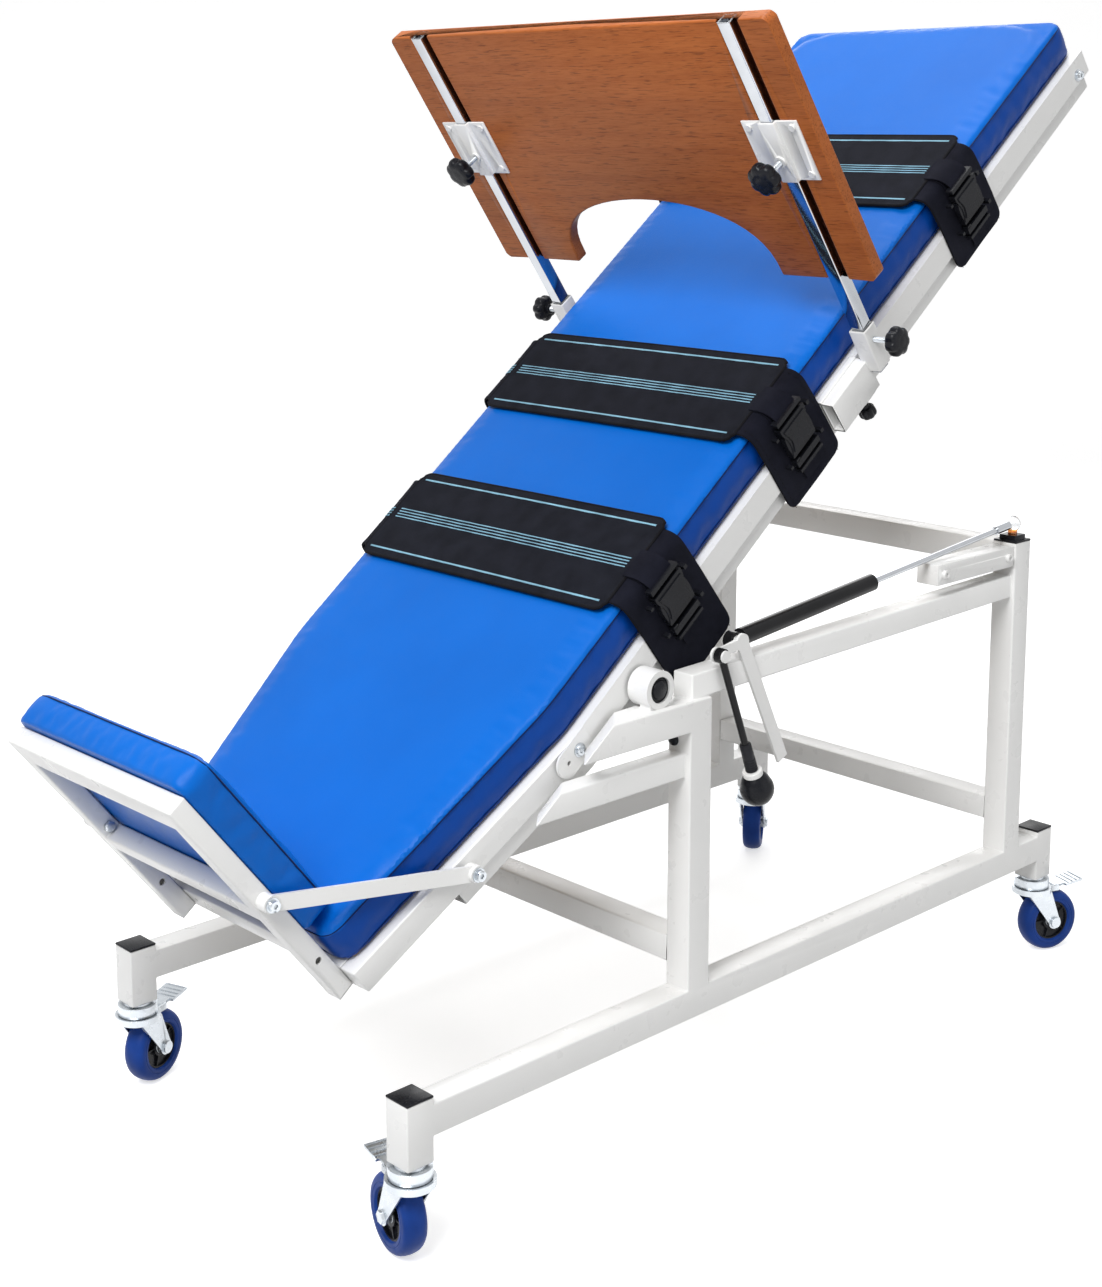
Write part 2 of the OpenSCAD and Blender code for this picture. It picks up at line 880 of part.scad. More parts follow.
module castor_stems() {
  king_low = fork_low - swivel_gap - king_head_h;
  color([0.75, 0.76, 0.78])
    base()
      for (i = [0:3])
        translate([castor_x(i), castor_y(i), 0]) {
          translate([0, 0, king_low])
            cylinder(r = king_head_r, h = king_head_h, $fn = facets);
          translate([0, 0, king_low])
            cylinder(r = king_r, h = castor_h + post_plate + stem_nut_h
              - king_low, $fn = facets);
          translate([0, 0, fork_top + swivel_gap])
            cylinder(r = cup_r, h = cup_h, $fn = facets);
          translate([0, 0, castor_h - flange_t])
            cylinder(r = flange_r, h = flange_t, $fn = facets);
          translate([0, 0, castor_h + post_plate])
            cylinder(r = stem_nut_r, h = stem_nut_h - 2 * run_gap,
              $fn = hex_sides);
        }
}

module fork_leg(y) {
  translate([0, y + fork_t / 2, 0])
    rotate([90, 0, 0])
      linear_extrude(fork_t) {
        polygon([[-head_r * 0.62, fork_low], [-head_r * 0.62, fork_top
          - head_h / 3], [head_r * 0.66, fork_top - head_h / 3],
          [head_r * 0.8, fork_low], [trail + axle_boss_r, wheel_r],
          [trail - axle_boss_r, wheel_r]]);
        translate([trail, wheel_r])
          circle(r = axle_boss_r, $fn = facets);
      }
}

module fork(i) {
  y = fork_in + fork_t / 2;
  out = fork_in + fork_t;
  pin_z = (fork_low + fork_top) / 2;
  color([0.75, 0.76, 0.78])
    castor(i)
      difference() {
        union() {
          translate([0, 0, fork_low])
            cylinder(r = head_r, h = head_h, $fn = facets);
          fork_leg(-y);
          fork_leg(y);
          translate([trail, 0, wheel_r]) {
            rod_y(axle_r, -out - axle_head_h, out + axle_head_h);
            rod_y(axle_head_r, -out - axle_head_h, -out);
            hex_y(axle_head_r, out, out + axle_head_h);
          }
          for (k = [-1, 1])
            box(head_r / 2, pedal_x + pedal_barrel_r,
              k * (pedal_half + side_play + ear_t / 2) - ear_t / 2,
              k * (pedal_half + side_play + ear_t / 2) + ear_t / 2,
              fork_low, fork_top);
          translate([pedal_x, 0, pin_z])
            rod_y(pedal_pin_r, -pedal_half - side_play - ear_t / 2,
              pedal_half + side_play + ear_t / 2);
        }
        translate([0, 0, fork_low - over])
          cylinder(r = king_r + run_gap, h = head_h + 2 * over, $fn = facets);
        translate([pedal_x, 0, pin_z])
          difference() {
            rod_y(pedal_barrel_r + 2 * side_play, -pedal_half - side_play,
              pedal_half + side_play);
            rod_y(pedal_pin_r, -pedal_half - over, pedal_half + over);
          }
      }
}

module wheel(i) {
  h = wheel_w / 2;
  boss = fork_in - side_play;
  b = tyre_bevel;
  color([0.05, 0.13, 0.42])
    castor(i)
      translate([trail, 0, wheel_r])
        rotate([90, 0, 0])
          rotate_extrude($fn = facets)
            polygon([[axle_r + run_gap, -boss], [wheel_boss_r, -boss],
              [wheel_boss_r, hub_dip - h], [hub_r, hub_dip - h],
              [hub_r + hub_dip / 2, -h], [wheel_r - b, -h],
              [wheel_r - b / 4, -h + b * 0.6], [wheel_r, -h + b * 1.5],
              [wheel_r, h - b * 1.5], [wheel_r - b / 4, h - b * 0.6],
              [wheel_r - b, h], [hub_r + hub_dip / 2, h],
              [hub_r, h - hub_dip], [wheel_boss_r, h - hub_dip],
              [wheel_boss_r, boss], [axle_r + run_gap, boss]]);
}

module pedal(i) {
  color([0.7, 0.71, 0.73])
    castor(i)
      translate([pedal_x, 0, (fork_low + fork_top) / 2])
        difference() {
          union() {
            rod_y(pedal_barrel_r, -pedal_half, pedal_half);
            rotate([0, -pedal_rise, 0]) {
              box(pedal_barrel_r / 2, pedal_len * 0.4, -pedal_half + rib_h,
                pedal_half - rib_h, -pedal_t / 2, pedal_t / 2);
              box(pedal_len * 0.35, pedal_len, -pedal_w / 2, pedal_w / 2,
                -pedal_t / 2, pedal_t / 2);
              for (k = [0:rib_count - 1])
                box(pedal_len - (k + 0.5) * rib_pitch, pedal_len
                  - (k + 0.5) * rib_pitch + rib_h, rib_h - pedal_w / 2,
                  pedal_w / 2 - rib_h, 0, pedal_t / 2 + rib_h);
            }
          }
          rod_y(pedal_pin_r + run_gap, -pedal_half - over, pedal_half + over);
        }
}

// Tilting table

function out_y(s) = s < -knee_len ? foot_half + (s + foot_len) * taper_slope
  : half_w;

module rail_strip(inset, w, s0, s1, n0, n1) {
  translate([0, 0, n0])
    linear_extrude(n1 - n0)
      polygon([[s0, -out_y(s0) + inset], [-knee_len, -half_w + inset],
        [s1, -half_w + inset], [s1, -half_w + inset + w],
        [-knee_len, -half_w + inset + w], [s0, -out_y(s0) + inset + w]]);
}

module rail_bolt_holes(r) {
  for (p = [[-stay_rail_s, stay_rail_up], [-knee_len - knee_bolt_back,
      rail_low + rail_h / 2], [head_len - head_bolt_in, rail_low
      + head_bolt_lift + nut_r / 2]])
    translate([p[0], 0, p[1]])
      rod_y(r, -half_w - lap_t - over, -foot_half_out);
}

module lap() {
  s = -knee_len - knee_bolt_back;
  translate([s, -out_y(s), rail_low + rail_h / 2])
    rotate([90, 0, 0])
      translate([0, 0, -lap_t])
        linear_extrude(2 * lap_t) {
          translate([-lap_len / 2, -rail_h / 2])
            square([lap_len, rail_h]);
          translate([-lap_len / 2, 0])
            circle(r = rail_h / 2, $fn = facets);
        }
}

module rail(far) {
  w = tube_wall;
  s = -knee_len - knee_bolt_back;
  color([0.93, 0.93, 0.92])
    table()
      across(far)
        difference() {
          union() {
            rail_strip(0, rail_w, -foot_len, head_len, rail_low, rail_top);
            lap();
          }
          rail_strip(w, rail_w - 2 * w, -foot_len + end_plate,
            head_len - end_plate, rail_low + w, rail_top - w);
          rod_y(journal_r + fit_gap, -half_w - over, -half_w + rail_w + over);
          rail_bolt_holes(bolt_r + fit_gap);
          translate([s - lap_hole_off, 0, rail_low + rail_h / 2])
            rod_y(lap_hole_r, -half_w - over, -half_w + rail_w / 2);
        }
}

module foot_tie() {
  w = tube_wall;
  color([0.93, 0.93, 0.92])
    table()
      intersection() {
        difference() {
          box(-foot_len, -foot_len + foot_tie_w, -half_w, half_w, rail_low,
            rail_top);
          box(-foot_len + w, -foot_len + foot_tie_w - w, -half_w - over,
            half_w + over, rail_low + w, rail_top - w);
        }
        translate([0, 0, rail_low - over])
          linear_extrude(rail_h + 2 * over)
            polygon([[-foot_len - over, -foot_half_out + over * taper_slope],
              [0, -foot_half_out - foot_len * taper_slope],
              [0, foot_half_out + foot_len * taper_slope],
              [-foot_len - over, foot_half_out - over * taper_slope]]);
      }
}

module beam_bars(g, s_over) {
  for (s = [-beam_foot, mid_bar_s, head_len - beam_back - bar_cross])
    translate([0, 0, rail_low - beam_h])
      box(s + g, s + bar_cross - g, -out_y(s) + beam_inset + beam_w / 2,
        out_y(s) - beam_inset - beam_w / 2, g, beam_h - g);
}

module underframe() {
  w = tube_wall;
  s1 = head_len - beam_back;
  color([0.92, 0.92, 0.91])
    table()
      difference() {
        union() {
          for (far = [false, true])
            across(far)
              rail_strip(beam_inset, beam_w, -beam_foot, s1,
                rail_low - beam_h, rail_low);
          beam_bars(0);
        }
        for (far = [false, true])
          across(far)
            rail_strip(beam_inset + w, beam_w - 2 * w, -beam_foot - over,
              s1 + over, rail_low - beam_h + w, rail_low - w);
        beam_bars(w);
        rod_y(journal_r + fit_gap, -half_w, half_w);
      }
}

module pivot_tube() {
  end = bush_out - plug_depth - side_play;
  color([0.85, 0.85, 0.85])
    table()
      difference() {
        rod_y(journal_r, -end, end);
        rod_y(journal_r - tube_wall, -end - over, end + over);
      }
}

module pad_board() {
  i = board_inset;
  s0 = -foot_len + pad_short + board_short;
  s1 = head_len - board_short;
  color([0.55, 0.42, 0.28])
    table()
      translate([0, 0, rail_top])
        linear_extrude(board_t)
          polygon([[s0, -out_y(s0) + i], [-knee_len, -half_w + i],
            [s1, -half_w + i], [s1, half_w - i], [-knee_len, half_w - i],
            [s0, out_y(s0) - i]]);
}

// Rings of a soft pad: a convex outline with rounded corners

function corner_points(p, q, n, r) = let (a = q + (p - q) / norm(p - q) * r,
  b = q + (n - q) / norm(n - q) * r) [for (k = [0:corner_steps])
  let (t = k / corner_steps) (1 - t) * (1 - t) * a + 2 * t * (1 - t) * q
  + t * t * b];

function ring(c, r) = [for (i = [0:len(c) - 1]) each corner_points(
  c[(i + len(c) - 1) % len(c)], c[i], c[(i + 1) % len(c)], r)];

function lift(points, z) = [for (p = points) [p[0], p[1], z]];

module stack(rings) {
  m = len(rings[0]);
  k = len(rings);
  polyhedron(points = [for (r = rings) each r], faces = concat(
    [[for (i = [0:m - 1]) i]],
    [for (j = [0:k - 2], i = [0:m - 1]) [j * m + i, (j + 1) * m + i,
      j * m + (i + 1) % m]],
    [for (j = [0:k - 2], i = [0:m - 1]) [j * m + (i + 1) % m,
      (j + 1) * m + i, (j + 1) * m + (i + 1) % m]],
    [[for (i = [m - 1:-1:0]) (k - 1) * m + i]]));
}

function table_outline(d) = let (s0 = -foot_len + pad_short,
  h0 = out_y(s0) - pad_inset) [[s0 + d, -h0 + d],
  [-knee_len, -pad_half + d], [head_len - d, -pad_half + d],
  [head_len - d, pad_half - d], [-knee_len, pad_half - d],
  [s0 + d, h0 - d]];

module main_pad() {
  side = [for (k = [0:len(level_shares) - 1])
    lift(ring(table_outline(inset_shares[k] * bulge), corner_r),
      pad_low + level_shares[k] * (pad_t - soft_gap))];
  top = [for (k = [0:len(crown_shares) - 1])
    lift(ring(table_outline(crown_in_shares[k] * corner_r), corner_r),
      pad_edge_n + crown_shares[k] * crown)];
  i = board_inset - soft_gap;
  s0 = -foot_len + pad_short + board_short - soft_gap;
  s1 = head_len - board_short + soft_gap;
  color([0.05, 0.25, 0.75])
    table()
      difference() {
        stack(concat(side, top));
        translate([0, 0, rail_top - over])
          linear_extrude(board_t + over + soft_gap)
            polygon([[s0, -out_y(s0) + i], [-knee_len, -half_w + i],
              [s1, -half_w + i], [s1, half_w - i], [-knee_len, half_w - i],
              [s0, out_y(s0) - i]]);
      }
}

module bolt(y0, y1, h) {
  rod_y(washer_r, y0 - washer_t, y0);
  difference() {
    rod_y(bolt_head_r, y0 - washer_t - h, y0);
    hex_y(key_r, y0 - washer_t - h - over, y0 - washer_t - h / 2);
  }
  rod_y(bolt_r, y0 - over, y1 + nut_h);
  hex_y(nut_r, y1, y1 + nut_h);
}

module table_bolts() {
  knee = -knee_len - knee_bolt_back;
  head = head_len - head_bolt_in;
  color([0.7, 0.71, 0.73])
    table()
      for (far = [false, true])
        across(far) {
          translate([-stay_rail_s, 0, stay_rail_up])
            bolt(-out_y(-stay_rail_s) - boss_len - stay_t - boss_len / 2,
              -out_y(-stay_rail_s) + rail_w + boss_r * taper_slope,
              bolt_head_h);
          translate([knee, 0, rail_low + rail_h / 2])
            bolt(-out_y(knee) - lap_t, -out_y(knee) + rail_w
              + nut_r * taper_slope, low_head_h);
          translate([head, 0, rail_low + head_bolt_lift + nut_r / 2])
            bolt(-half_w, -half_w + rail_w, bolt_head_h);
          translate([-foot_len - foot_t / 2, 0, stay_foot_up])
            bolt(-foot_half_out - boss_len - stay_t - boss_len / 2,
              -foot_half_out + foot_tube_w, bolt_head_h);
        }
}

// Footboard and its stays

module footboard_frame() {
  w = tube_wall;
  s0 = -foot_len - foot_t;
  y = foot_half_out;
  t = foot_tube_w;
  color([0.93, 0.93, 0.92])
    table()
      difference() {
        union() {
          for (far = [false, true])
            across(far)
              box(s0, -foot_len, -y, -y + t, foot_low, foot_top);
          box(s0, -foot_len, -y, y, foot_top - foot_bar_h, foot_top);
          box(s0, -foot_len, -y, y, foot_mid - foot_mid_h / 2,
            foot_mid + foot_mid_h / 2);
        }
        for (far = [false, true])
          across(far) {
            box(s0 + w, -foot_len - w, -y + w, -y + t - w, foot_low - over,
              foot_top - w);
            translate([s0 + foot_t / 2, 0, stay_foot_up])
              rod_y(bolt_r + fit_gap, -y - over, -y + t + over);
            translate([s0 + foot_t / 2, 0, foot_low + spare_lift])
              rod_y(spare_r, -y - over, -y + t + over);
          }
        box(s0 + w, -foot_len - w, -y + w, y - w, foot_top - foot_bar_h + w,
          foot_top - w);
        box(s0 + w, -foot_len - w, -y + w, y - w,
          foot_mid - foot_mid_h / 2 + w, foot_mid + foot_mid_h / 2 - w);
      }
}

function foot_outline(d) = let (y = foot_half_out + foot_pad_over,
  n0 = pad_edge_n + foot_pad_lift) [[n0 + d, -y + d],
  [foot_pad_top - d, -y + d], [foot_pad_top - d, y - d], [n0 + d, y - d]];

module footboard_pad() {
  side = [for (k = [0:len(level_shares) - 1])
    lift(ring(foot_outline(inset_shares[k] * bulge), corner_r),
      soft_gap + level_shares[k] * (foot_pad_t - crown - soft_gap))];
  top = [for (k = [0:len(crown_shares) - 1])
    lift(ring(foot_outline(crown_in_shares[k] * corner_r), corner_r),
      foot_pad_t - crown + crown_shares[k] * crown)];
  color([0.05, 0.25, 0.75])
    table()
      translate([-foot_len, 0, 0])
        mirror([1, 0, 0])
          rotate([0, -90, 0])
            stack(concat(side, top));
}

module stay(far) {
  y0 = -foot_half_out - boss_len - stay_t / 2;
  y1 = -out_y(-stay_rail_s) - boss_len - stay_t / 2;
  drop = stay_foot_up - stay_rail_up;
  flat = sqrt(stay_run * stay_run + drop * drop);
  s0 = -foot_len - foot_t / 2;
  color([0.93, 0.93, 0.92])
    table()
      across(far)
        difference() {
          union() {
            translate([s0, y0, stay_foot_up])
              rotate([0, atan(drop / stay_run), 0])
                rotate([0, 0, atan((y1 - y0) / flat)])
                  box(0, sqrt(flat * flat + (y1 - y0) * (y1 - y0)),
                    -stay_t / 2, stay_t / 2, -stay_w / 2, stay_w / 2);
            translate([s0, 0, stay_foot_up])
              rod_y(boss_r, y0 - stay_t / 2 - boss_len / 2, -foot_half_out);
            translate([-stay_rail_s, 0, stay_rail_up])
              rod_y(boss_r, y1 - stay_t / 2 - boss_len / 2, -foot_half_out);
          }
          rail_strip(0, 4 * rail_w, -foot_len - foot_t, head_len,
            rail_low - rail_h, rail_top + stay_foot_up / 4);
          translate([s0, 0, stay_foot_up])
            rod_y(bolt_r + fit_gap, -half_w, -foot_half_out + over);
          translate([-stay_rail_s, 0, stay_rail_up])
            rod_y(bolt_r + fit_gap, -half_w, -foot_half_out);
        }
}

// Tray, its posts, clamps and knobs

module clamp(far) {
  y0 = -half_w - clamp_gap;
  w = clamp_wall;
  s1 = post_s - post_w / 2 + w;
  s0 = s1 - clamp_len;
  color([0.9, 0.9, 0.89])
    across(far)
      difference() {
        union() {
          table() {
            difference() {
              box(s0, s1, y0 - clamp_w, y0, -clamp_low, rail_top + clamp_gap);
              box(s0 - over, s1 + over, y0 - clamp_w + w, y0 - w,
                -clamp_low + w, rail_top + clamp_gap - w);
            }
            box(s0, s1, y0 - w, -half_w + lip_reach, rail_top + clamp_gap,
              rail_top + clamp_gap + w);
            box(s1 - tab_w, s1, y0 - w, y0, -tab_low, -clamp_low + w);
            box(s1 - tab_w, s1, y0 - w, -half_w + tab_reach, -tab_low,
              -tab_low + w);
          }
          tray()
            difference() {
              box(-socket_out / 2, socket_out / 2, -post_y - socket_out / 2,
                -post_y + socket_out / 2, socket_low, socket_top);
              translate([0, 0, socket_knob_m])
                rod_y(stud_r + fit_gap, -post_y - socket_out, -post_y);
            }
        }
        tray()
          box(-post_w / 2 - socket_gap, post_w / 2 + socket_gap,
            -post_y - post_w / 2 - socket_gap,
            -post_y + post_w / 2 + socket_gap, post_low - over,
            socket_top + over);
        table()
          translate([s1 - tab_w / 2, -half_w + tab_reach / 2, -tab_low - over])
            cylinder(r = small_stud_r + fit_gap, h = clamp_wall + 2 * over,
              $fn = facets);
      }
}

module post(far) {
  y = -post_y;
  h = post_w / 2;
  w = post_wall;
  color([0.8, 0.81, 0.83])
    tray()
      across(far)
        difference() {
          box(-h, h, y - h, y + h, post_low, post_top);
          box(-h + w, h - w, y - h + w, y + h - w, post_low - over,
            post_top + over);
        }
}

function cut_point(k) = let (a = 180 * k / cut_steps) [-cut_half * cos(a),
  tray_low + cut_depth * pow(sin(a), cut_power)];

module tray_board() {
  y = post_y;
  g = groove_w / 2;
  outline = [[tray_half, tray_low], [tray_half, post_top],
    [-tray_half, post_top], [-tray_half, tray_low]];
  cut = concat([[-cut_half, tray_low - tray_t]],
    [for (k = [0:cut_steps]) cut_point(k)],
    [[cut_half, tray_low - tray_t]]);
  color([0.63, 0.33, 0.15])
    tray()
      difference() {
        translate([-tray_face, 0, 0])
          rotate([90, 0, 90])
            linear_extrude(tray_t)
              difference() {
                polygon(ring(outline, tray_r));
                polygon(cut);
              }
        for (k = [-1, 1])
          box(-tray_face - over, groove_x, k * y - g, k * y + g,
            tray_low - over, post_top + over);
        for (k = [-1, 1], j = [-1, 1], m = [bracket_low + screw_in,
            bracket_low + bracket_h - screw_in])
          translate([-tray_face - over, k * y + j * (bracket_half - screw_in),
            m])
            rotate([0, 90, 0])
              cylinder(r = screw_r + fit_gap, h = tray_t / 2 + 2 * over,
                $fn = facets / 2);
      }
}

module tray_bracket(far) {
  t = bracket_t;
  x1 = -tray_face;
  m1 = bracket_low + bracket_h;
  g = post_w / 2 + bracket_gap;
  color([0.9, 0.9, 0.89])
    tray()
      across(far)
        translate([0, -post_y, 0]) {
          difference() {
            union() {
              box(x1 - t, x1, -bracket_half, bracket_half, bracket_low, m1);
              box(-hat_x - t, x1, -g - t, g + t, bracket_low, m1);
              translate([-hat_x - 2 * t, 0, bracket_low + bracket_knob_lift])
                rotate([0, 90, 0])
                  cylinder(r = 2 * stud_r, h = 2 * t, $fn = facets);
            }
            box(-hat_x, x1 + over, -g, g, bracket_low - over, m1 + over);
            translate([-hat_x - 3 * t, 0, bracket_low + bracket_knob_lift])
              rotate([0, 90, 0])
                cylinder(r = stud_r + fit_gap, h = 4 * t, $fn = facets);
          }
          for (j = [-1, 1], m = [bracket_low + screw_in, m1 - screw_in])
            translate([x1 - t, j * (bracket_half - screw_in), m])
              rotate([0, 90, 0]) {
                cylinder(r = screw_r, h = tray_t / 2 + t, $fn = facets / 2);
                translate([0, 0, -screw_head_h])
                  cylinder(r = screw_head_r, h = screw_head_h,
                    $fn = facets / 2);
              }
        }
}

module knob(r, stud, bare, h) {
  cylinder(r = stud, h = bare + over, $fn = facets);
  translate([0, 0, bare])
    cylinder(r = min(knob_neck_r, r / 2), h = knob_neck_len + over,
      $fn = facets);
  translate([0, 0, bare + knob_neck_len])
    difference() {
      rotate_extrude($fn = facets)
        polygon([[0, 0], [r * knob_core_share, 0], [r, h * 0.22],
          [r, h * 0.7], [r * knob_core_share, h * 0.93], [0, h]]);
      for (k = [0:knob_lobes - 1])
        rotate([0, 0, 360 * (k + 0.5) / knob_lobes])
          translate([r * scallop_ring_share, 0, -over])
            cylinder(r = r * scallop_share, h = h + 2 * over,
              $fn = facets / 2);
    }
}

module bracket_knob(far) {
  color([0.05, 0.05, 0.05])
    tray()
      across(far)
        translate([-post_w / 2 - fit_gap, -post_y, bracket_low
          + bracket_knob_lift])
          rotate([0, -90, 0])
            knob(knob_r, stud_r, stud_len, knob_h);
}

module socket_knob(far) {
  color([0.05, 0.05, 0.05])
    tray()
      across(far)
        translate([0, -post_y - post_w / 2 - fit_gap, socket_knob_m])
          rotate([90, 0, 0])
            knob(socket_knob_r, stud_r, stud_len, knob_h);
}

module clamp_knob(far) {
  s1 = post_s - post_w / 2 + clamp_wall;
  color([0.05, 0.05, 0.05])
    table()
      across(far)
        translate([s1 - tab_w / 2, -half_w + tab_reach / 2,
          rail_low - beam_h - fit_gap])
          rotate([180, 0, 0])
            knob(clamp_knob_r, small_stud_r, clamp_stud_len, clamp_knob_h);
}

// Gas spring and release lever

module at_eye() {
  base()
    translate([eye_x, 0, eye_z])
      children();
}

module spring() {
  at_eye()
    translate([0, -side_y, 0])
      rotate([0, -spring_lean, 0])
        children();
}

module gas_cylinder() {
  color([0.05, 0.05, 0.05])
    spring()
      difference() {
        union() {
          rod_y(eye_r, -eye_w / 2, eye_w / 2);
          rotate([0, 90, 0])
            cylinder(r = cyl_r * 0.6, h = eye_r * 2, $fn = facets);
          translate([eye_r + pin_head_t, 0, 0])
            rotate([0, 90, 0])
              cylinder(r = cyl_r, h = cyl_len - eye_r - pin_head_t,
                $fn = facets);
        }
        rod_y(pin_r + run_gap, -eye_w, eye_w);
        translate([eye_r * 2 + pin_head_t, 0, 0])
          rotate([0, 90, 0])
            cylinder(r = rod_r + run_gap, h = cyl_len, $fn = facets);
      }
}

module gas_rod() {
  end = spring_len - dome_r - seat_gap;
  color([0.8, 0.81, 0.83])
    spring() {
      translate([cyl_len - rod_in, 0, 0])
        rotate([0, 90, 0])
          cylinder(r = rod_r, h = end - cyl_len + rod_in, $fn = facets);
      translate([end - ferrule_len, 0, 0])
        rotate([0, 90, 0])
          cylinder(r = ferrule_r, h = ferrule_len, $fn = facets);
    }
}

module pin_y(r, y0, y1, head) {
  rod_y(r, y0, y1);
  rod_y(head, y0 - pin_head_t, y0);
}

module lever_bracket() {
  y1 = -plate_y;
  y0 = y1 - plate_t;
  gap = side_y - plate_y - side_play + eye_w / 2;
  color([0.92, 0.92, 0.91])
    at_eye() {
      translate([0, y1, 0])
        rotate([90, 0, 0])
          linear_extrude(plate_t) {
            circle(r = plate_w * 0.6, $fn = facets);
            rotate(plate_lean)
              translate([-plate_w / 2, -plate_len])
                square([plate_w, plate_len]);
            translate([-lever_back, -lever_drop])
              circle(r = plate_w / 2, $fn = facets);
            translate([-lever_back, -lever_drop])
              rotate(atan(lever_drop / lever_back))
                translate([0, -plate_w * 0.35])
                  square([lever_back, plate_w * 0.7]);
          }
      rod_y(pin_head_r, y1 - over, -side_y - eye_w / 2 - side_play);
      rod_y(pin_r, y1 - over, -side_y + eye_w / 2 + side_play + over);
      rod_y(pin_head_r, -side_y + eye_w / 2 + side_play,
        -side_y + eye_w / 2 + side_play + pin_head_t);
      translate([-lever_back, 0, -lever_drop])
        pin_y(pin_r, y0 - lever_boss_w - 3 * side_play, y0 + over,
          pin_head_r);
      translate([-lever_back, 0, -lever_drop])
        rod_y(pin_head_r, y0 - 2 * side_play, y0 + over);
    }
}

module release_lever() {
  y = -plate_y - plate_t - lever_boss_w / 2 - 2.5 * side_play;
  color([0.05, 0.05, 0.05])
    at_eye()
      translate([-lever_back, y, -lever_drop])
        difference() {
          union() {
            rod_y(lever_boss_r, -lever_boss_w / 2, lever_boss_w / 2);
            rotate([0, -lever_lean, 0])
              translate([0, 0, -lever_len - grip_r]) {
                cylinder(r = lever_r, h = lever_len + grip_r
                  - lever_boss_r / 2, $fn = facets);
                translate([0, 0, 2 * ring_t])
                  cylinder(r = sleeve_r, h = sleeve_len, $fn = facets);
                translate([0, 0, ring_t])
                  cylinder(r = ring_r, h = ring_t, $fn = facets);
                translate([0, 0, -grip_r * 0.6])
                  sphere(r = grip_r, $fn = facets);
                translate([0, 0, -grip_r * 0.1])
                  cylinder(r1 = grip_r * 0.87, r2 = ring_r,
                    h = ring_t + grip_r * 0.1, $fn = facets);
              }
          }
          rod_y(pin_r + run_gap, -lever_boss_w, lever_boss_w);
        }
}

// Belts

belt_y = half_w;
way = concat([[-belt_seam, pad_edge_n + shoulder_shares[0][1] * corner_r]],
  [for (k = [1:len(shoulder_shares) - 1]) [-pad_half
    - shoulder_shares[k][0] * corner_r, pad_edge_n
    + shoulder_shares[k][1] * corner_r]], [[-belt_y, rail_top + web_t]]);

function side_way(low) = concat(way, [[-belt_y, -low]]);

function turned(v) = [-v[1], v[0]] / norm(v);

function shifted(p, t) = [for (i = [0:len(p) - 1]) let (
  a = i > 0 ? turned(p[i] - p[i - 1]) : turned(p[1] - p[0]),
  b = i < len(p) - 1 ? turned(p[i + 1] - p[i]) : a,
  m = (a + b) / (1 + a * b)) p[i] - m * t];

function back(p) = [for (i = [len(p) - 1:-1:0]) p[i]];

module ribbon(p, t, s, w) {
  translate([s + w / 2, 0, 0])
    rotate([0, -90, 0])
      mirror([0, 0, 0])
        linear_extrude(w)
          polygon([for (q = concat(p, back(shifted(p, t)))) [q[1], q[0]]]);
}

module plan(s, w, y0, y1, r) {
  translate([0, 0, -half_w])
    linear_extrude(2 * half_w)
      polygon(ring([[s - w / 2, y0], [s + w / 2, y0], [s + w / 2, y1],
        [s - w / 2, y1]], r));
}

module belt_pad(s) {
  top = [[belt_seam, pad_edge_n + shoulder_shares[0][1] * corner_r],
    [0, pad_edge_n + crown + belt_ease],
    [-belt_seam, pad_edge_n + shoulder_shares[0][1] * corner_r]];
  color([0.06, 0.06, 0.07])
    table()
      intersection() {
        ribbon(top, belt_pad_t, s, belt_w);
        plan(s, belt_w, -belt_seam, belt_seam, belt_r);
      }
}

module belt_strap(s, low_end) {
  near = side_way(low_end);
  web = [for (k = [0:len(near) - 2]) shifted(near, belt_t)[k]];
  low = shifted(near, belt_t)[len(near) - 1];
  color([0.04, 0.04, 0.05])
    table() {
      ribbon(near, belt_t, s, flap_w);
      ribbon(concat(web, [[low[0], buckle_n - buckle_len / 2]]), web_t, s, web_w);
      mirror([0, 1, 0])
        ribbon(side_way(far_low), belt_t, s, flap_w);
    }
}

module buckle(s) {
  color([0.03, 0.03, 0.03])
    table()
      translate([s, -belt_y - belt_t - web_t, buckle_n])
        rotate([90, 0, 0])
          linear_extrude(buckle_t)
            difference() {
              translate([-buckle_w / 2, -buckle_len / 2])
                square([buckle_w, buckle_len]);
              for (k = [-1, 1])
                translate([k * (buckle_w / 2 + grip_cut_r - grip_cut),
                  buckle_len / 12])
                  circle(r = grip_cut_r, $fn = facets);
              translate([-web_w / 2, buckle_len / 2 - web_t * 5])
                square([web_w, web_t * 2]);
              translate([-web_w / 2, -buckle_len / 2 + web_t * 3])
                square([web_w, web_t * 2]);
            }
}

// One module per piece

module side_frame_near() {
  side_frame(false);
}

module side_frame_far() {
  side_frame(true);
}

module fork_near_foot() {
  fork(0);
}

module fork_far_foot() {
  fork(1);
}

module fork_near_head() {
  fork(2);
}

module fork_far_head() {
  fork(3);
}

module wheel_near_foot() {
  wheel(0);
}

module wheel_far_foot() {
  wheel(1);
}

module wheel_near_head() {
  wheel(2);
}

module wheel_far_head() {
  wheel(3);
}

module pedal_near_foot() {
  pedal(0);
}

module pedal_far_foot() {
  pedal(1);
}

module pedal_near_head() {
  pedal(2);
}

module pedal_far_head() {
  pedal(3);
}

module rail_near() {
  rail(false);
}

module rail_far() {
  rail(true);
}

module stay_near() {
  stay(false);
}

module stay_far() {
  stay(true);
}

module clamp_near() {
  clamp(false);
}

module clamp_far() {
  clamp(true);
}

module post_near() {
  post(false);
}

module post_far() {
  post(true);
}

module tray_bracket_near() {
  tray_bracket(false);
}

module tray_bracket_far() {
  tray_bracket(true);
}

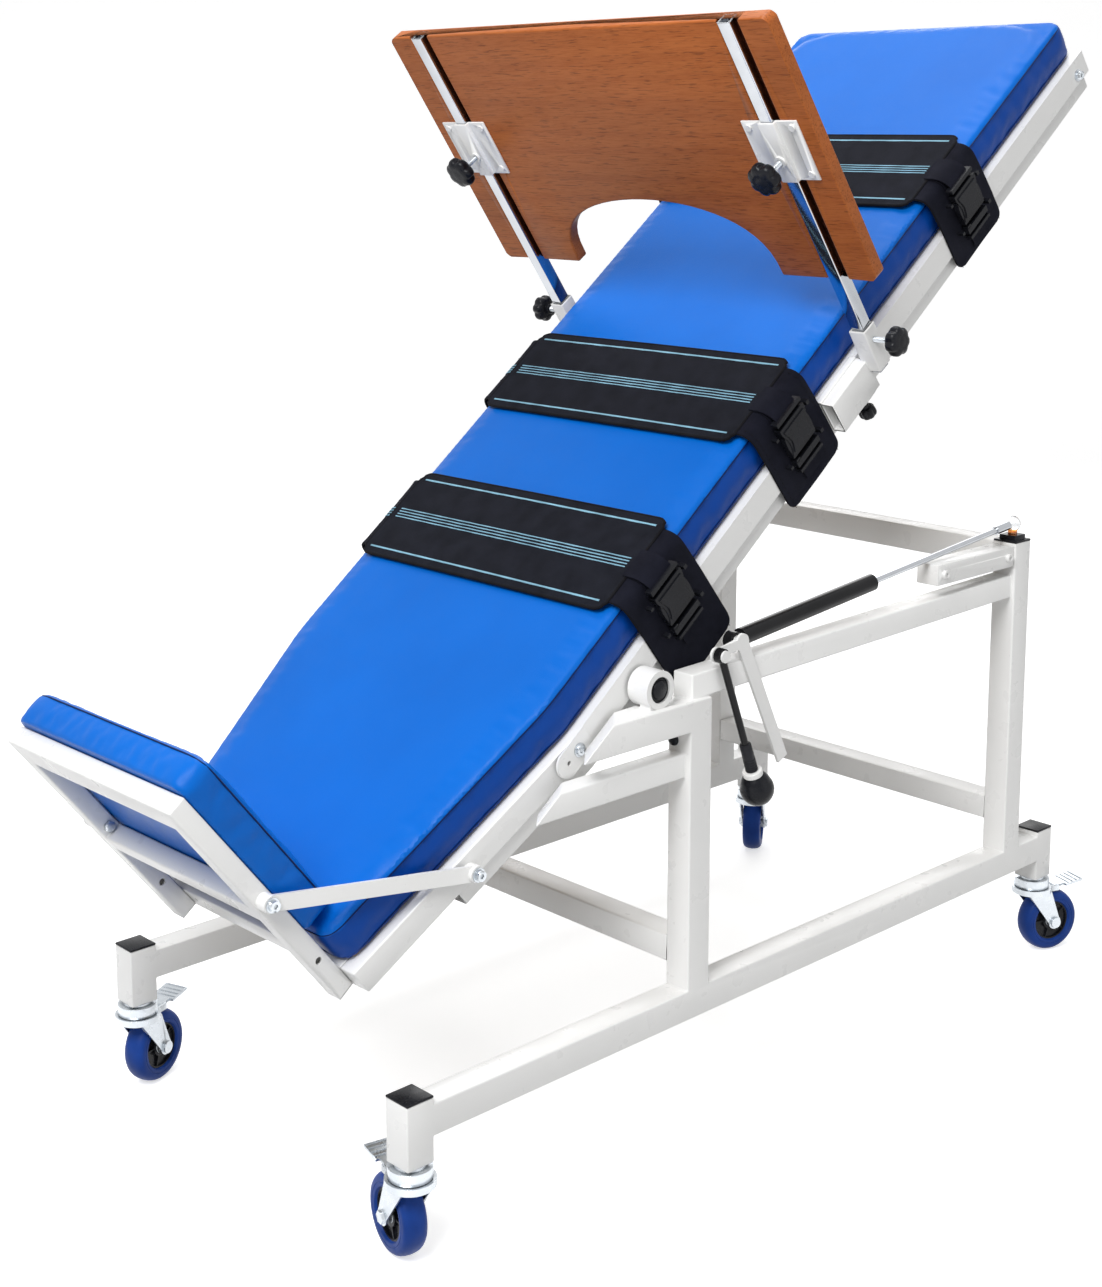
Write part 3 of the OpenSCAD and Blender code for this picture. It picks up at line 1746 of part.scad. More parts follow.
module bracket_knob_near() {
  bracket_knob(false);
}

module bracket_knob_far() {
  bracket_knob(true);
}

module socket_knob_near() {
  socket_knob(false);
}

module socket_knob_far() {
  socket_knob(true);
}

module clamp_knob_near() {
  clamp_knob(false);
}

module clamp_knob_far() {
  clamp_knob(true);
}

module belt_pad_low() {
  belt_pad(belt_1);
}

module belt_pad_mid() {
  belt_pad(belt_2);
}

module belt_pad_top() {
  belt_pad(belt_3);
}

module belt_strap_low() {
  belt_strap(belt_1, flap_low_1);
}

module belt_strap_mid() {
  belt_strap(belt_2, flap_low_2);
}

module belt_strap_top() {
  belt_strap(belt_3, flap_low_3);
}

module buckle_low() {
  buckle(belt_1);
}

module buckle_mid() {
  buckle(belt_2);
}

module buckle_top() {
  buckle(belt_3);
}

side_frame_near();
side_frame_far();
front_cross();
rear_cross_low();
rear_cross_top();
bush_plugs();
post_caps();
rear_caps();
rear_arm();
castor_stems();
fork_near_foot();
fork_far_foot();
fork_near_head();
fork_far_head();
wheel_near_foot();
wheel_far_foot();
wheel_near_head();
wheel_far_head();
pedal_near_foot();
pedal_far_foot();
pedal_near_head();
pedal_far_head();
rail_near();
rail_far();
foot_tie();
underframe();
pivot_tube();
pad_board();
main_pad();
table_bolts();
lever_bracket();
footboard_frame();
footboard_pad();
stay_near();
stay_far();
clamp_near();
clamp_far();
post_near();
post_far();
tray_board();
tray_bracket_near();
tray_bracket_far();
bracket_knob_near();
bracket_knob_far();
socket_knob_near();
socket_knob_far();
clamp_knob_near();
clamp_knob_far();
gas_cylinder();
gas_rod();
release_lever();
belt_pad_low();
belt_pad_mid();
belt_pad_top();
belt_strap_low();
belt_strap_mid();
belt_strap_top();
buckle_low();
buckle_mid();
buckle_top();
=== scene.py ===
import json
import math

import bmesh
import bpy
from mathutils import Matrix, Vector
from mathutils.bvhtree import BVHTree


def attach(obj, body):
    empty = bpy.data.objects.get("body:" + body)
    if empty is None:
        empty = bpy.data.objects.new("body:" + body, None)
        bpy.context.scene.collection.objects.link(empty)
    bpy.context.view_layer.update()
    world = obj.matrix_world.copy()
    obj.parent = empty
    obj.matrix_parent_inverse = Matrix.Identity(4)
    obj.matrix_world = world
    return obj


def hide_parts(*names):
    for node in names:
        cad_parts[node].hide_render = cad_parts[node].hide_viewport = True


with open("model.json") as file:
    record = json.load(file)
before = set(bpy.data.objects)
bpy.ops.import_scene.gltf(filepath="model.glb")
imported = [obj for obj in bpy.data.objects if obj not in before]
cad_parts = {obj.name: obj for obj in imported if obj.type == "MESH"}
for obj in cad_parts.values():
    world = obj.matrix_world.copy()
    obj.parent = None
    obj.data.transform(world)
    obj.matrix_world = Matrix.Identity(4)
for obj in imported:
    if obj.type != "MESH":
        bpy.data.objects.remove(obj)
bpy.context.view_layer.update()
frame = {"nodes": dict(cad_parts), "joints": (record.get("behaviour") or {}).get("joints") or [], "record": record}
NODES = frame["nodes"]
JOINTS = {j["name"]: j for j in frame["joints"]}

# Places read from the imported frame, in metres


def at(joint):
    return Vector(JOINTS[joint]["pos_m"])


def slope(joint, rise, run):
    """Angle of a joint's axis between two of its coordinates, to a tenth of a degree."""
    axis = JOINTS[joint]["axis"]
    return math.radians(round(math.degrees(math.atan2(axis[rise], axis[run])), 1))


def span(node, place=Matrix()):
    """Lowest and highest coordinates of a node in a frame, to a tenth of a millimetre."""
    back = place.inverted()
    points = [back @ v.co for v in NODES[node].data.vertices]
    return [[round(pick(p[i] for p in points), 4) for i in range(3)] for pick in (min, max)]


def middle(node, place, i):
    low, high = span(node, place)
    return (low[i] + high[i]) / 2


# The table's frame has X towards the head and Z out of the pad, the tray's has Z up its posts
PIVOT = at("table_tilt")
TABLE = Matrix.Translation(PIVOT) @ Matrix.Rotation(-slope("carriage_slide", 2, 0), 4, "Y")
TRAY = Matrix.Translation(at("carriage_slide")) @ Matrix.Rotation(slope("post_lift", 0, 2), 4, "Y")
CASTORS = ("near_foot", "far_foot", "near_head", "far_head")
BELTS = ("low", "mid", "top")

# Half width over the table's rails, which narrow from the knee to the foot
FOOT_S = span("rail_near", TABLE)[0][0]
KNEE_S = -0.118
RAIL_HALF = 0.268
FOOT_HALF = 0.206

# Soft covers start a little inside their plain solids
COVER_IN = 0.001
WELT_IN = 0.0015
WELT_STEP = 0.008
RIM = 0.0085
PAD_LOW, PAD_HIGH = span("main_pad", TABLE)
FOOT_LOW, FOOT_HIGH = span("footboard_pad", TABLE)
SEAM_N = 0.0878

# Belts: the seam between padded part and strap, and the width of the straps' webbing
SEAM_Y = span("belt_pad_low", TABLE)[1][1] - 0.0005
WEB_W = 0.045
STRIPES = (-0.0075, -0.0025, 0.0025, 0.0075)


# Material building blocks


def material(name):
    m = bpy.data.materials.new(name)
    m.use_nodes = True
    t = m.node_tree
    t.nodes.clear()
    out = t.nodes.new("ShaderNodeOutputMaterial")
    bsdf = t.nodes.new("ShaderNodeBsdfPrincipled")
    t.links.new(bsdf.outputs[0], out.inputs[0])
    return m, t, bsdf


def add(t, kind, **values):
    n = t.nodes.new(kind)
    for k, v in values.items():
        setattr(n, k, v)
    return n


def put(node, **values):
    """Sets a node's sockets, named with _ for a space."""
    for name, value in values.items():
        node.inputs[name.replace("_", " ")].default_value = value
    return node


def coords(t, scale=(1, 1, 1), source="Object"):
    c = add(t, "ShaderNodeTexCoord")
    m = put(add(t, "ShaderNodeMapping"), Scale=scale)
    t.links.new(c.outputs[source], m.inputs["Vector"])
    return m.outputs["Vector"]


def noise(t, vector, scale, detail=4.0, rough=0.5):
    n = put(add(t, "ShaderNodeTexNoise"), Scale=scale, Detail=detail, Roughness=rough)
    t.links.new(vector, n.inputs["Vector"])
    return n.outputs["Fac"]


def ramp(t, fac, stops):
    r = add(t, "ShaderNodeValToRGB")
    for item, (pos, col) in zip(r.color_ramp.elements, stops):
        item.position = pos
        item.color = tuple(col) + (1.0,)
    for pos, col in stops[2:]:
        r.color_ramp.elements.new(pos).color = tuple(col) + (1.0,)
    t.links.new(fac, r.inputs["Fac"])
    return r.outputs["Color"]


def grey(t, fac, low, high, start=0.3, stop=0.7):
    return ramp(t, fac, [(start, [low] * 3), (stop, [high] * 3)])


def mix(t, fac, a, b, mode="MIX"):
    n = add(t, "ShaderNodeMix", data_type="RGBA", blend_type=mode)
    sockets = [n.inputs["Factor"]] + [s for s in n.inputs if s.type == "RGBA"]
    for socket, value in zip(sockets, (fac, a, b)):
        if isinstance(value, bpy.types.NodeSocket):
            t.links.new(value, socket)
        else:
            socket.default_value = value
    return [s for s in n.outputs if s.type == "RGBA"][0]


def tint(t, bsdf, colour, shade):
    """Links a colour darkened by a shade to the shader."""
    t.links.new(mix(t, 1.0, colour, shade, "MULTIPLY"), bsdf.inputs["Base Color"])


def gloss(t, bsdf, fac, low, high, start=0.3, stop=0.7):
    t.links.new(grey(t, fac, low, high, start, stop), bsdf.inputs["Roughness"])


def bump(t, height, bsdf, strength, distance, before=None):
    n = put(add(t, "ShaderNodeBump"), Strength=strength, Distance=distance)
    t.links.new(height, n.inputs["Height"])
    if before is not None:
        t.links.new(before, n.inputs["Normal"])
    t.links.new(n.outputs["Normal"], bsdf.inputs["Normal"])
    return n.outputs["Normal"]


def soft_edges(t, radius):
    return put(add(t, "ShaderNodeBevel", samples=4), Radius=radius).outputs["Normal"]


def corners(t, reach):
    """Painted shade: dark in the corners of a piece and bright in the open."""
    return put(add(t, "ShaderNodeAmbientOcclusion", samples=4), Distance=reach).outputs["AO"]


# Materials


def paint_material(name, colour, rough=0.3, dirt=0.03):
    m, t, b = material(name)
    v = coords(t)
    darker = [c * (1 - dirt) for c in colour]
    base = ramp(t, noise(t, v, 7.0, 3.0), [(0.35, darker), (0.65, colour)])
    # Painted shade: the paint's colour is darkened in its corners.
    tint(t, b, base, grey(t, corners(t, 0.012), 0.80, 1.0, 0.15, 0.75))
    gloss(t, b, noise(t, v, 30.0), rough - 0.05, rough + 0.08)
    put(b, Coat_Weight=0.05, Coat_Roughness=0.12)
    bump(t, noise(t, v, 900.0, 2.0), b, 0.05, 0.0003, soft_edges(t, 0.0008))
    return m


def above_seam(t, v):
    """0 below the seam around the main pad and 1 above it; it masks the painted shade on the pad's sides."""
    up = TABLE.to_3x3() @ Vector((0, 0, 1))
    dot = add(t, "ShaderNodeVectorMath", operation="DOT_PRODUCT")
    dot.inputs[1].default_value = up
    t.links.new(v, dot.inputs[0])
    edge = up.dot(PIVOT) + SEAM_N
    blur = 0.0005
    return grey(t, dot.outputs["Value"], 0.0, 1.0, edge - blur, edge + blur)


def leather_grain(t, v):
    """Fine cells whose edges wander."""
    wobble = put(add(t, "ShaderNodeTexNoise"), Scale=260.0)
    amount = put(add(t, "ShaderNodeVectorMath", operation="SCALE"), Scale=0.0016)
    warp = add(t, "ShaderNodeVectorMath", operation="ADD")
    cells = put(add(t, "ShaderNodeTexVoronoi", feature="DISTANCE_TO_EDGE"), Scale=620.0)
    t.links.new(v, wobble.inputs["Vector"])
    t.links.new(wobble.outputs["Color"], amount.inputs[0])
    t.links.new(v, warp.inputs[0])
    t.links.new(amount.outputs[0], warp.inputs[1])
    t.links.new(warp.outputs[0], cells.inputs["Vector"])
    return grey(t, cells.outputs["Distance"], 0.0, 1.0, 0.02, 0.22)


def vinyl_material(name, colour, deep, side=None):
    """Upholstery vinyl, with another colour below the pad's seam where one is given: painted shade on the pad's
    sides.
    """
    m, t, b = material(name)
    v = coords(t)
    cloud = noise(t, v, 3.5, 3.0)
    base = ramp(t, cloud, [(0.3, deep), (0.7, colour)])
    # The darker colour below the seam is painted shade.
    if side:
        under = ramp(t, cloud, [(0.3, [c * 0.85 for c in side]), (0.7, side)])
        base = mix(t, above_seam(t, v), under, base)
    t.links.new(base, b.inputs["Base Color"])
    puckers = bump(t, noise(t, v, 28.0, 3.0), b, 0.10, 0.0008)
    bump(t, leather_grain(t, v), b, 0.22, 0.0003, puckers)
    gloss(t, b, noise(t, v, 40.0), 0.28, 0.37)
    put(b, Specular_IOR_Level=0.12)
    return m


def wood_material(name, light, dark, scale=1.0, rough=0.3):
    m, t, b = material(name)
    rings = put(add(t, "ShaderNodeTexWave", wave_type="BANDS", bands_direction="Z"),
                Scale=0.42, Distortion=11.0, Detail=4.0, Detail_Scale=0.9)
    t.links.new(coords(t, (16.0 * scale, 1.1 * scale, 16.0 * scale)), rings.inputs["Vector"])
    streak = noise(t, coords(t, (210.0 * scale, 12.0 * scale, 210.0 * scale)), 1.6, 6.0, 0.7)
    fleck = noise(t, coords(t, (420.0, 34.0, 420.0)), 1.1, 2.0)
    cloud = noise(t, coords(t, (9.0, 2.2, 9.0)), 1.2, 3.0)
    between = [0.5 * (a + c) for a, c in zip(light, dark)]
    grain = ramp(t, rings.outputs["Fac"], [(0.1, between), (0.45, light), (0.9, light)])
    tone = mix(t, 0.60, grain, ramp(t, streak, [(0.36, dark), (0.56, light)]))
    tone = mix(t, 1.0, tone, grey(t, fleck, 0.62, 1.0, 0.34, 0.42), "MULTIPLY")
    tint(t, b, tone, grey(t, cloud, 0.86, 1.05))
    gloss(t, b, streak, rough + 0.12, rough, 0.3, 0.6)
    put(b, Specular_IOR_Level=0.14)
    bump(t, streak, b, 0.10, 0.0003, soft_edges(t, 0.0012))
    return m


def metal_material(name, colour, rough, streaks=0.0):
    m, t, b = material(name)
    v = coords(t)
    base = ramp(t, noise(t, v, 34.0, 2.0), [(0.3, [c * 0.90 for c in colour]), (0.7, colour)])
    # Painted shade: the metal's colour is darkened in its corners.
    tint(t, b, base, grey(t, corners(t, 0.006), 0.55, 1.0, 0.2, 0.8))
    gloss(t, b, noise(t, v, 90.0), rough * 0.85, rough * 1.2)
    put(b, Metallic=1.0)
    brushed = noise(t, coords(t, (1, 1, 1 + streaks * 40)), 160.0, 1.0)
    bump(t, brushed, b, 0.03, 0.0002, soft_edges(t, 0.0004))
    return m


def plastic_material(name, colour, rough=0.35, grain=700.0, strength=0.12):
    m, t, b = material(name)
    v = coords(t)
    worn = [c * 1.5 + 0.002 for c in colour]
    base = ramp(t, noise(t, v, 25.0, 3.0), [(0.3, colour), (0.75, worn)])
    t.links.new(base, b.inputs["Base Color"])
    gloss(t, b, noise(t, v, 90.0), rough * 0.85, rough * 1.2)
    put(b, Specular_IOR_Level=0.15)
    bump(t, noise(t, v, grain, 2.0), b, strength, 0.0002, soft_edges(t, 0.0005))
    return m


def weave_height(t, thread):
    uv = coords(t, source="UV")
    both = add(t, "ShaderNodeMath", operation="MULTIPLY")
    for i, direction in enumerate("XY"):
        w = put(add(t, "ShaderNodeTexWave", wave_type="BANDS", bands_direction=direction),
                Scale=0.5 / thread, Distortion=0.6, Detail=1.0, Detail_Scale=2.0)
        t.links.new(uv, w.inputs["Vector"])
        t.links.new(w.outputs["Fac"], both.inputs[i])
    return both.outputs[0]


def fabric_material(name, colour, thread, light=1.6):
    m, t, b = material(name)
    v = coords(t)
    height = weave_height(t, thread)
    base = ramp(t, noise(t, v, 35.0, 3.0),
                [(0.3, colour), (0.7, [c * light + 0.002 for c in colour])])
    # Painted shade and highlight: the colour is darker in the weave's hollows and lighter on the thread tops.
    tint(t, b, base, grey(t, height, 0.75, 1.35, 0.1, 0.9))
    put(b, Roughness=0.8, Sheen_Weight=0.02, Sheen_Roughness=0.4, Specular_IOR_Level=0.08)
    fuzz = bump(t, noise(t, v, 1400.0, 2.0), b, 0.25, 0.0005)
    bump(t, height, b, 0.5, 0.0006, fuzz)
    return m


def glass_material(name, colour):
    m, t, b = material(name)
    put(b, Transmission_Weight=0.85, Roughness=0.08)
    paler = [min(1, c * 1.15) for c in colour]
    base = ramp(t, noise(t, coords(t), 60.0), [(0.3, colour), (0.7, paler)])
    t.links.new(base, b.inputs["Base Color"])
    return m


# The third blue is painted shade for the main pad's sides.
BLUE, DEEP_BLUE, SIDE_SHADE_BLUE = (0.001, 0.140, 0.60), (0.0008, 0.116, 0.51), (0.001, 0.058, 0.34)
WHITE = paint_material("white_paint", (0.87, 0.87, 0.86))
VINYL = vinyl_material("blue_vinyl", BLUE, DEEP_BLUE)
# Main pad vinyl with painted shade on its sides.
PAD_VINYL_SIDE_SHADE = vinyl_material("pad_vinyl_side_shade", BLUE, DEEP_BLUE, SIDE_SHADE_BLUE)
# Very dark blue for the piping: painted shade of the seam's groove line.
SEAM_SHADE_BLUE = vinyl_material("blue_seam_painted_shade", (0.001, 0.012, 0.085), (0.001, 0.009, 0.065))
WOOD = wood_material("tray_wood", (0.47, 0.138, 0.034), (0.33, 0.082, 0.018), 1.5, 0.36)
# Dark wood for the tray's grooves: painted shade in the recesses.
GROOVE_SHADE_WOOD = wood_material("groove_wood_painted_shade", (0.115, 0.028, 0.010), (0.055, 0.012, 0.005))
PLY = wood_material("plywood", (0.50, 0.34, 0.18), (0.34, 0.21, 0.10), 1.4, 0.5)
CHROME = metal_material("chrome", (0.52, 0.54, 0.57), 0.11, 1.0)
ZINC = metal_material("zinc", (0.64, 0.68, 0.72), 0.28)
BLACK = plastic_material("black_plastic", (0.006, 0.0065, 0.009), 0.27)
BLACK_MATTE = plastic_material("black_matte", (0.010, 0.0105, 0.013), 0.50, 500.0, 0.25)
BLACK_PAINT = plastic_material("black_paint", (0.008, 0.008, 0.009), 0.16, 1200.0, 0.04)
TYRE = plastic_material("blue_tyre", (0.006, 0.036, 0.20), 0.42, 420.0, 0.2)
WEBBING = fabric_material("black_webbing", (0.005, 0.0055, 0.011), 0.0016)
PAD_CLOTH = fabric_material("belt_cloth", (0.007, 0.008, 0.013), 0.0010)
BINDING = fabric_material("belt_binding", (0.006, 0.006, 0.008), 0.0009)
STRIPE = fabric_material("blue_stripe", (0.22, 0.42, 0.54), 0.0009, 1.5)
AMBER = glass_material("amber_core", (0.75, 0.22, 0.02))
CLEAR = glass_material("clear_dome", (0.86, 0.88, 0.90))


# Mesh helpers


def make(name, bm, mats, body, smooth=32.0):
    me = bpy.data.meshes.new(name)
    bmesh.ops.recalc_face_normals(bm, faces=bm.faces)
    bm.to_mesh(me)
    bm.free()
    o = bpy.data.objects.new(name, me)
    bpy.context.scene.collection.objects.link(o)
    for m in mats:
        me.materials.append(m)
    for p in me.polygons:
        p.use_smooth = True
    me.set_sharp_from_angle(angle=math.radians(smooth))
    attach(o, body)
    return o


def node_body(node):
    for body, names in frame["record"]["behaviour"]["bodies"].items():
        if node in names:
            return body
    return "root"


def bevel_edges(bm, width, segments, angle=25.0):
    """Rounds the sharp edges that are long enough and have room at both ends."""
    limit = math.radians(angle)

    def room(v):
        return min(e.calc_length() for e in v.link_edges) > 1.15 * width

    picked = [
        e for e in bm.edges
        if len(e.link_faces) == 2 and e.calc_face_angle(0) > limit
        and e.calc_length() > 2.4 * width and room(e.verts[0]) and room(e.verts[1])
    ]
    bmesh.ops.bevel(bm, geom=picked, offset=width, offset_type="OFFSET", segments=segments,
                    profile=0.5, affect="EDGES", clamp_overlap=False)


def softened(node, mat, width, segments=2):
    """A copy of a node with rounded edges, which replaces it."""
    bm = bmesh.new()
    bm.from_mesh(NODES[node].data)
    bmesh.ops.remove_doubles(bm, verts=bm.verts, dist=1e-5)
    bmesh.ops.dissolve_limit(bm, angle_limit=math.radians(0.6), verts=bm.verts, edges=bm.edges)
    bevel_edges(bm, width, segments)
    o = make(node + "_look", bm, [mat], node_body(node))
    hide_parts(node)
    return o


def polar(r, k, steps):
    """Point k of the steps around a circle."""
    return r * math.cos(math.tau * k / steps), r * math.sin(math.tau * k / steps)


def skin(bm, rows, mat=0, closed=False):
    """Faces between neighbouring rings of points, where a ring may be a single point."""
    pairs = list(zip(rows, rows[1:]))
    if closed:
        pairs.append((rows[-1], rows[0]))
    for a, b in pairs:
        count = max(len(a), len(b))
        for k in range(count if count > 1 else 0):
            j = (k + 1) % count
            face = [a[0]] if len(a) == 1 else [a[k], a[j]]
            face += [b[0]] if len(b) == 1 else [b[j], b[k]]
            bm.faces.new(face).material_index = mat


def lathe(bm, profile, place, steps=64, mat=0):
    """A profile of (radius, height) points turned about the Z axis of a frame."""
    rows = []
    for r, h in profile:
        ring = [(0, 0)] if r < 1e-7 else [polar(r, k, steps) for k in range(steps)]
        rows.append([bm.verts.new(place @ Vector((x, y, h))) for x, y in ring])
    skin(bm, rows, mat)


def prism(bm, outline, z0, z1, place, mat=0):
    low, top = ([bm.verts.new(place @ Vector((x, y, z))) for x, y in outline] for z in (z0, z1))
    bm.faces.new(low[::-1]).material_index = mat
    bm.faces.new(top).material_index = mat
    skin(bm, [low, top], mat)


def tube_between(bm, points, radius, sides=8, closed=False):
    """A round strand along a polyline of points."""
    rings = []
    count = len(points)
    last = None
    for i, p in enumerate(points):
        a = points[i - 1] if i > 0 or closed else p
        b = points[(i + 1) % count] if i < count - 1 or closed else p
        d = (b - a).normalized()
        side = last if last is not None else d.orthogonal().normalized()
        side = (side - d * side.dot(d)).normalized()
        last = side
        up = d.cross(side)
        rings.append([bm.verts.new(p + radius * (side * x + up * y))
                      for x, y in (polar(1.0, k, sides) for k in range(sides))])
    skin(bm, rings, closed=closed)
    if not closed:
        bm.faces.new(rings[0])
        bm.faces.new(rings[-1])


def turned_to(axis, origin):
    """A frame whose Z runs along an axis."""
    turn = Vector(axis).normalized().to_track_quat("Z", "Y").to_matrix().to_4x4()
    return Matrix.Translation(origin) @ turn


# Tray board and rear caps


def tray_board():
    groove_y, groove_x = (0.2785, 0.3155), (-0.0030, 0.0108)
    o = softened("tray_board", WOOD, 0.0030, 3)
    # The faces inside the grooves take the dark wood: painted shade.
    o.data.materials.append(GROOVE_SHADE_WOOD)
    back = TRAY.inverted()
    for f in o.data.polygons:
        q = back @ f.center
        if groove_y[0] < abs(q.y) < groove_y[1] and groove_x[0] < q.x < groove_x[1]:
            f.material_index = 1


def rear_caps():
    top = span("rear_caps")[1][2]
    amber_from, clear_from = top - 0.0265, top - 0.0195
    o = softened("rear_caps", BLACK, 0.0010, 3)
    o.data.materials.append(CLEAR)
    o.data.materials.append(AMBER)
    for f in o.data.polygons:
        z = sum(o.data.vertices[v].co.z for v in f.vertices) / len(f.vertices)
        if z > amber_from:
            f.material_index = 1 if z > clear_from else 2


# Release lever


def ring_profile(r, low, high, inner):
    """A washer-like ring as a lathe profile."""
    e = min(0.0006, (high - low) / 4)
    return [(inner, low), (r - e, low), (r, low + e), (r, high - e), (r - e, high), (inner, high),
            (inner, low)]


def lever_ball(r, z):
    """A ball on a short neck, hanging from the end of the rod."""
    ball = [(r * math.cos(math.radians(a)), z + r * math.sin(math.radians(a)))
            for a in range(-90, 31, 6)]
    return ball + [(0.0195, 0.0002), (0.0165, 0.0050), (0.0140, 0.0078), (0.004, 0.0079)]


def lever_sleeve(inner, r, ribs=5, pitch=0.0035):
    """A ribbed sleeve with a tapered upper end."""
    out = [(inner, 0.0165), (0.0078, 0.0165), (r, 0.0172)]
    for k in range(ribs):
        z = 0.0175 + pitch * k
        out += [(r, z), (r, z + 0.002), (0.0077, z + 0.0024), (0.0077, z + 0.0031)]
    return out + [(0.0082, 0.0355), (0.0078, 0.0565), (0.0070, 0.0578), (inner, 0.0580)]


def release_lever():
    lean, rod_len, rod_r, bore_r = math.radians(-21.0), 0.195, 0.0050, 0.0045
    place = Matrix.Translation(at("lever_swing")) @ Matrix.Rotation(lean, 4, "Y")
    grip = place @ Matrix.Translation((0, 0, -rod_len))
    eye = place @ Matrix.Rotation(math.radians(90.0), 4, "X")
    bm = bmesh.new()
    lathe(bm, lever_ball(0.023, -0.0138), grip, 56, 0)
    lathe(bm, [(rod_r, 0.014), (rod_r, 0.187)], grip, 28, 2)
    lathe(bm, lever_sleeve(bore_r, 0.0084), grip, 40, 1)
    lathe(bm, ring_profile(0.0133, 0.0080, 0.0158, bore_r), grip, 48, 3)
    lathe(bm, ring_profile(0.0100, -0.0054, 0.0054, 0.0062), eye, 40, 2)
    o = make("release_lever_look", bm, [BLACK, BLACK_MATTE, BLACK_PAINT, WHITE], "release_lever")
    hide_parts("release_lever")


# Wheels


TREAD = [(0.0310, 0.0122), (0.0328, 0.0156), (0.0340, 0.0160), (0.0368, 0.0160),
         (0.0372, 0.0155), (0.0380, 0.0155), (0.0384, 0.0160), (0.0425, 0.0159),
         (0.0450, 0.0149), (0.0472, 0.0125), (0.0487, 0.0092), (0.0496, 0.0052)]
DISH = [(0.0312, 0.0126), (0.0290, 0.0126), (0.0282, 0.0090), (0.0152, 0.0078),
        (0.0146, 0.0128), (0.0106, 0.0131)]
BEARING = [(0.0108, 0.0125), (0.0100, 0.0132), (0.0100, 0.0178), (0.0094, 0.0184),
           (0.0053, 0.0184)]


def wheel(name, spokes=5):
    """A tyre on a ribbed hub; its profiles are half sections of (radius, distance sideways)."""
    centre = at("roll_" + name)
    turn = slope("roll_" + name, 1, 0) - math.radians(90.0)
    place = (Matrix.Translation(centre) @ Matrix.Rotation(turn, 4, "Z")
             @ Matrix.Rotation(math.radians(90.0), 4, "X"))
    crown = [(centre.z, 0.0)]
    bm = bmesh.new()
    lathe(bm, TREAD + crown + [(r, -h) for r, h in reversed(TREAD)], place, 96, 0)
    for k in (-1, 1):
        lathe(bm, [(r, k * h) for r, h in DISH], place, 64, 1)
        lathe(bm, [(r, k * h) for r, h in BEARING], place, 40, 2)
        for n in range(spokes):
            rib = place @ Matrix.Rotation(math.tau * (n + 0.5) / spokes, 4, "Z")
            low, high = sorted((k * 0.0070, k * 0.0116))
            outline = [(0.0140, -0.0011), (0.0292, -0.0011), (0.0292, 0.0011), (0.0140, 0.0011)]
            prism(bm, outline, low, high, rib, 1)
    o = make("wheel_look_" + name, bm, [TYRE, BLACK, ZINC], "wheel_" + name)
    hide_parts("wheel_" + name)


# Knobs


# Shares of a knob's radius and height, from its underside to the middle of its top
KNOB_SHARES = (
    (0.0, 0.0), (0.45, 0.0), (0.70, 0.0), (0.80, 0.05), (0.92, 0.15), (0.985, 0.27), (1.0, 0.40),
    (1.0, 0.56), (0.975, 0.70), (0.89, 0.83), (0.74, 0.92), (0.50, 0.965), (0.44, 0.955),
    (0.25, 0.99), (0.0, 1.0))

# Kind, start of the stud past the joint's point, radius, height, stud's radius and bare length
KNOBS = (
    ("bracket_knob", 0.0001, 0.024, 0.020, 0.004, 0.026),
    ("socket_knob", 0.0001, 0.021, 0.020, 0.004, 0.026),
    ("clamp_knob", -0.0059, 0.013, 0.018, 0.003, 0.015))


def stud_profile(stud, bare, pitch=0.0012):
    count = int(bare / pitch)
    thread = [(0.0, 0.0), (stud * 0.85, 0.0)]
    for k in range(count):
        thread += [(stud, bare * (k + 0.3) / count), (stud * 0.87, bare * (k + 0.8) / count)]
    return thread + [(stud * 0.87, bare + 0.001)]


def star_knob(side, kind, start, r, h, stud, bare, lobes=7):
    """A knob with rounded lobes on a threaded stud."""
    name = kind + "_" + side
    joint = kind + "_turn_" + side
    axis = Vector(JOINTS[joint]["axis"])
    place = turned_to(axis, at(joint) + axis * start)
    bm = bmesh.new()
    lathe(bm, stud_profile(stud, bare), place, 20, 1)
    neck, base, chamfer = min(0.008, r / 2), bare + 0.006, 0.0008
    lathe(bm, [(0.0, bare), (neck - chamfer, bare), (neck, bare + chamfer), (neck, base + 0.002)],
          place, 32, 0)
    steps = lobes * 12
    rows = []
    for out, up in KNOB_SHARES:
        row = []
        for k in range(steps if out else 1):
            valley = (0.5 - 0.5 * math.cos(math.tau * lobes * k / steps)) ** 2
            x, y = polar(r * out * (1 - 0.16 * out ** 3 * valley), k, steps)
            row.append(bm.verts.new(place @ Vector((x, y, base + up * h))))
        rows.append(row)
    skin(bm, rows)
    o = make(name + "_look", bm, [BLACK, ZINC], name)
    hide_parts(name)


# Nodes that keep their shape, as material, width and segments of their rounded edges
LOOKS = (
    (WHITE, 0.0022, 3, ["side_frame_near", "side_frame_far", "front_cross", "rear_cross_low",
                        "rear_cross_top", "rail_near", "rail_far", "foot_tie", "underframe",
                        "footboard_frame", "clamp_near", "clamp_far"]),
    (WHITE, 0.0010, 2, ["rear_arm", "stay_near", "stay_far", "tray_bracket_near",
                        "tray_bracket_far", "lever_bracket"]),
    (ZINC, 0.0008, 2, ["pivot_tube"]),
    (ZINC, 0.0006, 2, ["castor_stems", "table_bolts"]),
    *((ZINC, width, 2, [kind + name]) for name in CASTORS
      for kind, width in (("fork_", 0.0008), ("pedal_", 0.0007))),
    (CHROME, 0.0015, 3, ["post_near", "post_far"]),
    (CHROME, 0.0008, 2, ["gas_rod"]),
    (BLACK_PAINT, 0.0012, 2, ["gas_cylinder"]),
    (BLACK, 0.0006, 2, ["bush_plugs"]),
    (BLACK, 0.0012, 3, ["post_caps"]),
)


